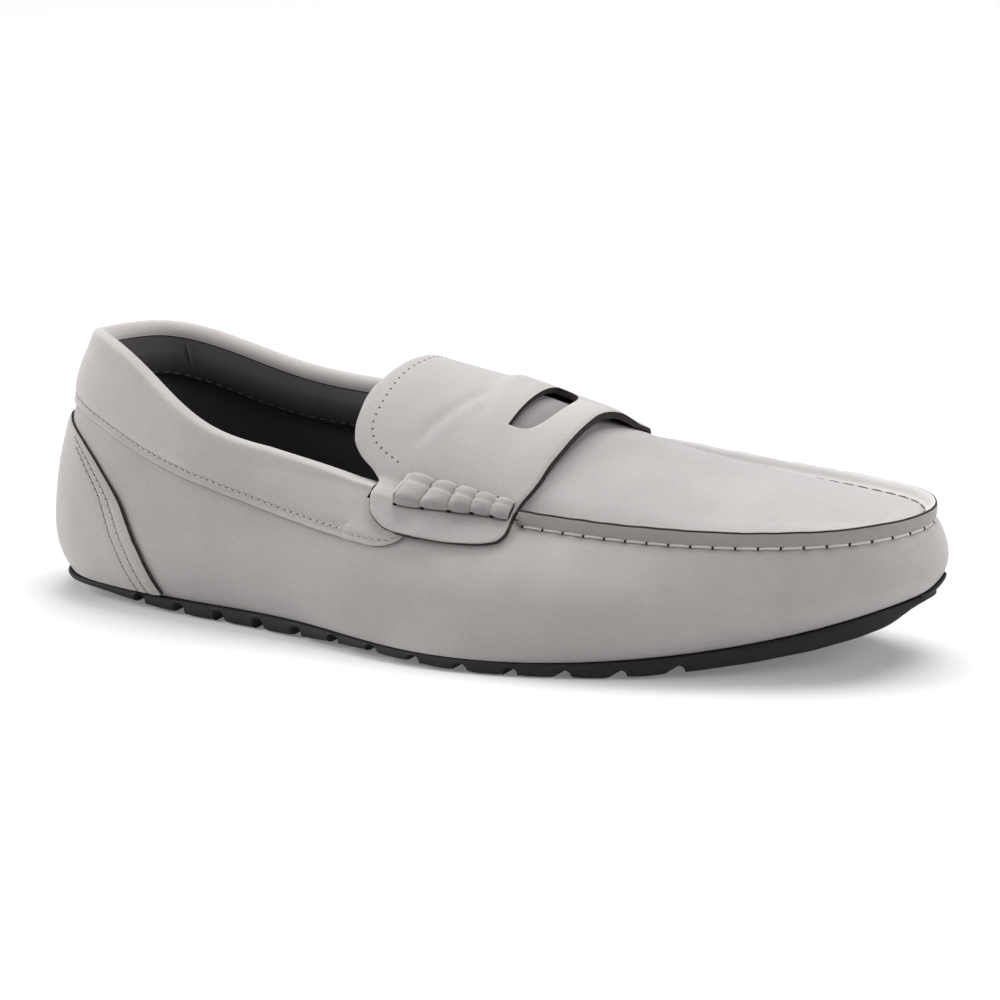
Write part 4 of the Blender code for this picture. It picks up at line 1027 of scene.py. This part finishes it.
def build_saddle():
    slot_wide = SLOT_RIGHT - SLOT_LEFT
    slot_w = SLOT_LEFT + slot_wide * (1.0 - np.cos(np.arange(45) / 44.0 * math.pi)) / 2.0
    left_w = tab_columns(SADDLE_OUTLINE[0][0], SLOT_LEFT)
    right_w = 3.0 - tab_columns(3.0 - SADDLE_OUTLINE[-1][0], 3.0 - SLOT_RIGHT)[::-1]
    w_all = np.concatenate([left_w, slot_w, right_w])
    first, last = len(left_w), len(left_w) + len(slot_w) - 1
    ease = np.concatenate([[0.0, 0.008, 0.02, 0.04], np.linspace(0.07, 1.0, 24)])
    sheets = {"back": [], "front": [], "under_back": [], "under_front": []}
    for i, w in enumerate(w_all):
        back, front = saddle_back(w), saddle_front(w)
        near = smooth((w - 1.02) / 0.2) * smooth((1.98 - w) / 0.2)
        one = two = (back + (front - back) * 0.7) * (1.0 - near) + SLOT_BACK * near
        arc = 0.0
        if first <= i <= last:
            arc = max(math.sin(math.pi * (w - SLOT_LEFT) / slot_wide), 0.0)
            one = SLOT_BACK + 0.003 * arc
            two = SLOT_BACK + (SLOT_FRONT - SLOT_BACK) * arc ** 0.25
        tab = w < 1.05 or w > 1.95
        lower = {0: -0.007, len(w_all) - 1: 0.007}.get(i, 0.0)
        for name, edge, end, flare in (("back", back, one, -0.0022 if tab else 0.0),
                                       ("front", front, two, 0.0012)):
            shares = edge + (end - edge) * ease
            ws = np.full(len(shares), w)
            form = saddle_form(shares, ws)
            lip = -0.00035 * bump((shares - shares[-1]) * LENGTH, 0.0006) * arc ** 0.5
            sheets[name].append(on_saddle(shares, ws, SADDLE_LEATHER + form + lip))
            shares[0] += flare
            stand = np.maximum(form - 0.0002, 0.0) * 0.9
            sheets["under_" + name].append(on_saddle(shares, ws + lower, stand))
    skin = Skin()
    grids = {}
    for name, sheet in sheets.items():
        # past the slot's ends, the front sheet starts at the last row of the back sheet
        joined = grids.get(name.replace("front", "back"))
        grids[name] = [np.append(skin.add(points[:-1]), joined[i][-1])
                       if joined and not first < i < last else skin.add(points)
                       for i, points in enumerate(sheet)]
    for name in ("back", "front"):
        top, under = grids[name], grids["under_" + name]
        skin.sheet(top, 0)
        skin.sheet(under, 2)
        skin.strip(side_of(top, 0), side_of(under, 0), 1)
        for end in (0, -1):
            skin.strip(top[end], under[end], 1)
        slot = slice(first, last + 1)
        skin.strip(side_of(top[slot], -1), side_of(under[slot], -1), 1)
    thing = make("saddle_strap", skin, [SADDLE_GREY, CUT_EDGE_AND_SHADOW, DEEP_LINING], 40.0)
    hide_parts("saddle")
    dark, shadow = Skin(), Skin()
    half = np.array(spline_rows(THROAT_HOLES, 24))
    share, w = half[::-1, 0], 3.0 - half[::-1, 1]
    share = share + (saddle_back(w) - saddle_back(3.0 - w)) * 0.8
    share, w = np.append(half[:, 0], share[1:]), np.append(half[:, 1], w[1:])
    line = on_saddle(share, w, SADDLE_LEATHER + saddle_form(share, w))
    holes(dark, *place_along(line, cover_out(share, w), 0.0024), 0.00042)
    make("saddle_holes", dark, [SOFT_HOLE_AND_SHADOW])
    # dark tube under the back edge of both tabs: painted shadow where the tab stands off the collar
    w = np.linspace(SADDLE_OUTLINE[0][0] + 0.008, 1.015, 90)
    for at in (w, 3.0 - w):
        tube(shadow, on_saddle(saddle_back(at) - 0.0010, at, 0.0003), 0.00030)
    make("tab_shadow", shadow, [CUT_EDGE_AND_SHADOW])


# ---------------------------------------------------------------- beef rolls
ROLL_COUNT = len(ROLL_CREASES) - 1
ROLL_SEAT = SADDLE_LEATHER + CLEARANCE + 0.0001


def roll_point(t, a, medial, extra=0.0):
    """Surface of the roll: t counts its creases, a goes across it from the lower side."""
    t, a = even(t, a)
    rows = np.array(ROLL_CREASES)
    share, w_low, w_high = (np.interp(t, np.arange(ROLL_COUNT + 1), rows[:, k]) for k in range(3))
    s = t - np.clip(np.floor(t), 0, ROLL_COUNT - 1)
    pillow = np.clip(1.0 - np.abs(2.0 * s - 1.0) ** 2.2, 0.0, 1.0) ** 0.55
    half_w = (w_high - w_low) / 2.0 * (0.84 + 0.16 * pillow)
    w = (w_low + w_high) / 2.0 - half_w * np.cos(a)
    side = np.clip(np.sin(a), 0.0, 1.0)
    taper = 1.0 - 0.42 * t / ROLL_COUNT
    rise = 0.0002 + ROLL_THICK * taper * (0.46 + 0.54 * pillow) * side ** 0.6
    share = share - 0.0045 * side * (1.0 - t / ROLL_COUNT)
    w = 3.0 - w if medial else w
    return on_saddle(share, w, ROLL_SEAT + rise + extra), share, w


def build_roll(medial):
    side = "medial" if medial else "lateral"
    step = (1.0 - np.cos(np.arange(18) / 18.0 * math.pi)) / 2.0
    t = np.append(np.concatenate([k + step for k in range(ROLL_COUNT)]), float(ROLL_COUNT))
    tt, aa = np.meshgrid(t, np.linspace(0.0, math.pi, 27), indexing="ij")
    grid, share, w = roll_point(tt, aa, medial)
    grid = grid + cover_out(share, w) * waves(grid, 51, 0.012, 2)[..., None] * 0.00012
    skin = Skin()
    rows = [skin.add(r) for r in grid]
    base = [skin.add(r) for r in on_saddle(share, w, ROLL_SEAT)]
    skin.sheet(rows)
    skin.sheet(base)
    for end in (0, -1):
        skin.strip(side_of(rows, end), side_of(base, end), 1)
        skin.strip(rows[end], base[end], -end)
    thing = make("roll_" + side, skin, [ROLL_GREY, CUT_EDGE_AND_SHADOW], 60.0)
    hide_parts("beef_roll_" + side)
    thread, dark = Skin(), Skin()
    over = np.linspace(0.05, math.pi - 0.05, 26)
    for spot in range(ROLL_COUNT):
        at = spot + 1e-4
        for twin in ((0.02, 0.10) if spot == 0 else (0.0,)):
            line, share, w = roll_point(at + twin * np.sin(over), over, medial, 0.00020)
            tube(thread, line, 0.00030)
        for angle, extra, lift, radius, depth in ((0.0, 0.0002, 0.0002, 0.00095, 0.45),
                                                  (math.pi * 0.88, 0.0, 0.0, 0.00080, 0.60)):
            dots, share, w = roll_point([at], [angle], medial, extra)
            way = cover_out(share, w)
            holes(dark, dots + way * lift, way, radius, depth)
    # dark tube along the roll's lower edge: painted shadow
    line, share, w = roll_point(np.linspace(0.02, ROLL_COUNT - 0.02, 140), 0.0, medial)
    tube(dark, line, 0.00022, 1)
    make("roll_thread_" + side, thread, [FINE_THREAD])
    make("roll_holes_and_shadow_" + side, dark, [HOLE, SOFT_HOLE_AND_SHADOW])


# ---------------------------------------------------------------- sole
LUG = LUG_PITCH - LUG_GROOVE
GUARD_HALF = 7.0         # half width of the tab up the heel, degrees


def lug_place(x):
    """Which groove a place belongs to, and how far past its start it lies."""
    place = (np.asarray(x) - FIRST_GROOVE) / LUG_PITCH
    return np.floor(place), (place - np.floor(place)) * LUG_PITCH


def groove_depth(x):
    """1 in the middle of a groove, 0 on a lug, with rounded shoulders."""
    k, into = lug_place(x)
    inside = np.clip(1.0 - np.abs(2.0 * into / LUG_GROOVE - 1.0) ** 2.6, 0.0, 1.0) ** 0.5
    return np.where((into < LUG_GROOVE) & (k >= 0) & (k < LUG_COUNT), inside, 0.0)


def lug_sag(x):
    """Rounded ends of each lug."""
    k, into = lug_place(x)
    across = np.clip((into - LUG_GROOVE) / LUG, 0.0, 1.0)
    round_end = 1.0 - np.clip(1.0 - np.abs(2.0 * across - 1.0) ** 5, 0.0, 1.0) ** 0.5
    return np.where((k >= 0) & (k < LUG_COUNT - 1) & (into >= LUG_GROOVE), round_end, 0.0)


def lip_top(theta):
    """How far up the wall the sole's thin lip reaches at the tip of the toe."""
    angle = np.degrees(theta)
    return 0.02 + 0.145 * smooth((angle - 176.0) / 9.0) * smooth((216.0 - angle) / 14.0)


def over_sole(points):
    return floor_height(points[:, 0]) - CLEARANCE


def add_guard(skin):
    """Rubber tab up the back of the heel."""
    base = SEAT * 2.0 + COUNTER_LEATHER
    across = np.linspace(-1.0, 1.0, 31)
    foot = ring("feather", np.radians(across * GUARD_HALF))
    way = ring_out("feather", np.radians(across * GUARD_HALF))
    foot[:, 2] = floor_height(foot[:, 0]) - 0.0016
    rows_in = [skin.add(foot + way * (base - 0.0004))]
    rows_out = [skin.add(foot + way * (base + GUARD_THICK - 0.0008))]
    for v in np.concatenate([np.linspace(0.05, 0.50, 14), np.linspace(0.51, 0.585, 9)]):
        round_off = math.sqrt(max(1.0 - (max(v - 0.48, 0.0) / 0.135) ** 2, 0.1))
        t = np.radians(across * GUARD_HALF * round_off)
        fall = 0.28 * np.abs(across) ** 8 + 0.2 * smooth((v - 0.545) / 0.04)
        rows_in.append(skin.add(on_wall(t, v, base)))
        rows_out.append(skin.add(on_wall(t, v, base + GUARD_THICK * (1.0 - fall))))
    skin.shell(rows_out, rows_in)


def add_toe_lip(skin):
    """Thin lip turned up at the tip of the toe."""
    t = np.radians(np.linspace(174.0, 217.0, 60))
    foot = ring("feather", t)
    way = ring_out("feather", t)
    foot[:, 2] = floor_height(foot[:, 0]) - 0.0013
    rows_in, rows_out = [skin.add(foot + way * 0.0001)], [skin.add(foot + way * 0.0008)]
    for part in np.linspace(0.0, 1.0, 9):
        thick = LIP_THICK * (1.0 - 0.15 * part - 0.35 * part ** 6)
        rows_in.append(skin.add(on_wall(t, lip_top(t) * part, SEAT)))
        rows_out.append(skin.add(on_wall(t, lip_top(t) * part, SEAT + thick)))
    skin.shell(rows_out, rows_in, None)


def build_outsole():
    first, last = FEATHER_SPAN
    xs = []
    for k in range(LUG_COUNT):
        start = FIRST_GROOVE + k * LUG_PITCH
        xs += list(start + LUG_GROOVE * (1.0 - np.cos(np.arange(9) / 8.0 * math.pi)) / 2.0)
        if k < LUG_COUNT - 1:
            xs += list(start + LUG_GROOVE
                       + LUG * (1.0 - np.cos(np.arange(1, 9) / 9.0 * math.pi)) / 2.0)
    angles = angle_of((np.array(xs) / LENGTH - first) / (last - first))
    theta = full_turn(np.concatenate([np.linspace(0.0, angles[0], 26)[:-1], angles,
                                      np.linspace(angles[-1], math.pi, 48)[1:]]))
    foot = ring("feather", theta)
    out = ring_out("feather", theta)
    behind = smooth((math.radians(34.0) - np.minimum(theta, TURN - theta)) / math.radians(16.0))
    outset = SOLE_OUTSET + (GUARD_THICK + COUNTER_LEATHER) * behind
    x = foot[:, 0]
    reach = LUG_DEPTH * np.interp(x / LENGTH, [0.3, 0.5, 0.8], [1.10, 0.82, 0.72])
    notch = sole_rise(x) + reach * groove_depth(x) + 0.0005 * lug_sag(x)
    height = over_sole(foot) - notch
    tip = smooth((np.degrees(theta) - 160.0) / 18.0) * smooth((222.0 - np.degrees(theta)) / 16.0)
    inner = foot - out * 0.004
    inner[:, 2] = over_sole(inner)
    rows = [inner]
    # side: lip, slightly hollow wall, rounded lower edge
    for part, move in ((0.0, -0.0003), (0.04, 0.0), (0.30, 0.00025), (0.55, 0.0003),
                       (0.72, 0.00015), (0.84, -0.0002), (0.93, -0.0008), (0.985, -0.0016),
                       (1.0, -0.0024)):
        under_cut = 0.0100 * max(part - 0.28, 0.0) ** 1.2
        row = foot + out * (outset + move - under_cut * tip)[:, None]
        row[:, 2] = over_sole(foot) - height * part
        rows.append(row)
    skin = Skin()
    loops = [skin.add(r) for r in rows]
    skin.sheet(loops, 0, True)
    skin.cap(loops[-1], rows[-1], 15, lambda line, parts: line[:, 2])
    skin.cap(loops[0], rows[0], 15, lambda line, parts: over_sole(line))
    add_guard(skin)
    add_toe_lip(skin)
    thing = make("rubber_sole", skin, [RUBBER], 44.0)
    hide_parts("outsole")


# ---------------------------------------------------------------- footbed
def build_footbed():
    theta = full_turn(np.linspace(0.0, math.pi, 61))
    out = ring_out("feather", theta)
    low = ring("feather", theta) - out * 0.0050
    low[:, 2] = floor_height(low[:, 0]) + WALL + CLEARANCE
    top = low + UP * INSOLE_THICK - out * 0.0010
    skin = Skin()
    loops = [skin.add(rows) for rows in (low, low + UP * INSOLE_THICK * 0.7, top)]
    skin.sheet(loops, 0, True)
    for k, rows, dish in ((0, low, 0.0), (2, top, 0.0008)):
        skin.cap(loops[k], rows, 19,
                 lambda line, parts: line[:, 2] - dish * np.sin(parts * math.pi))
    thing = make("footbed", skin, [FOOTBED])
    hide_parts("insole")


# ---------------------------------------------------------------- stage, light and camera
def build_stage():
    mesh = bpy.data.meshes.new("floor")
    half = 3.0
    mesh.from_pydata([(-half, -half, 0.0), (half, -half, 0.0), (half, half, 0.0),
                      (-half, half, 0.0)], [], [(0, 1, 2, 3)])
    material, _, shader = nodes_of("floor_paint")
    settle(shader, {"Base Color": grey(0.58), "Emission Color": grey(1.0),
                    "Emission Strength": 0.15, "Roughness": 0.9, "Specular IOR Level": 0.1})
    mesh.materials.append(material)
    thing = link("floor", mesh)


def area_light(name, place, target, size, power):
    data = bpy.data.lights.new(name, "AREA")
    data.shape = "RECTANGLE"
    data.size, data.size_y = size
    data.energy = power
    thing = link(name, data)
    thing.location = place
    thing.rotation_euler = (Vector(target) - Vector(place)).to_track_quat("-Z", "Y").to_euler()


def build_lights():
    world = bpy.context.scene.world or bpy.data.worlds.new("studio")
    bpy.context.scene.world = world
    world.use_nodes = True
    settle(world.node_tree.nodes["Background"], {"Color": grey(1.0), "Strength": 0.26})
    area_light("top_softbox", (0.05, 0.50, 1.5), (0.0, 0.0, 0.0), (1.6, 1.2), 38.0)
    area_light("toe_fill", (1.55, -0.25, 0.75), (0.0, 0.0, 0.04), (0.9, 0.9), 14.0)
    area_light("heel_fill", (-1.5, -0.50, 0.75), (0.0, 0.0, 0.04), (0.9, 0.9), 25.0)


CAMERA_TURN, CAMERA_DIP, CAMERA_ROLL = (math.radians(angle) for angle in (28.5, 14.8, 1.8))
CAMERA_TARGET = np.array([0.1405, 0.0, 0.035])      # in the last's own coordinates
CAMERA_DISTANCE = 1.6
FOCAL_PIXELS = 5504.0    # on a picture 1000 pixels wide
SENSOR = 36.0


def build_camera():
    (turn_cos, turn_sin), (dip_cos, dip_sin), (roll_cos, roll_sin) = (
        (math.cos(angle), math.sin(angle)) for angle in (CAMERA_TURN, CAMERA_DIP, CAMERA_ROLL))
    right = np.array([turn_cos, turn_sin, 0.0])
    up = np.array([-turn_sin * dip_sin, turn_cos * dip_sin, dip_cos])
    back = np.array([turn_sin * dip_cos, -turn_cos * dip_cos, dip_sin])
    data = bpy.data.cameras.new("view")
    data.sensor_width = SENSOR
    data.sensor_fit = "HORIZONTAL"
    data.lens = FOCAL_PIXELS * SENSOR / 1000.0
    data.shift_x = 0.011
    data.shift_y = 0.005
    data.clip_end = 20.0
    matrix = np.eye(4)
    matrix[:3, 0] = right * roll_cos - up * roll_sin
    matrix[:3, 1] = right * roll_sin + up * roll_cos
    matrix[:3, 2] = back
    matrix[:3, 3] = CAMERA_TARGET - SHIFT + back * CAMERA_DISTANCE
    thing = link("view", data)
    thing.matrix_world = Matrix(matrix.tolist())
    bpy.context.scene.camera = thing


build_upper()
build_seam_thread()
build_collar()
build_counter()
build_saddle()
build_roll(False)
build_roll(True)
build_outsole()
build_footbed()
build_stage()
build_lights()
build_camera()
bpy.context.scene.view_settings.view_transform = "Standard"
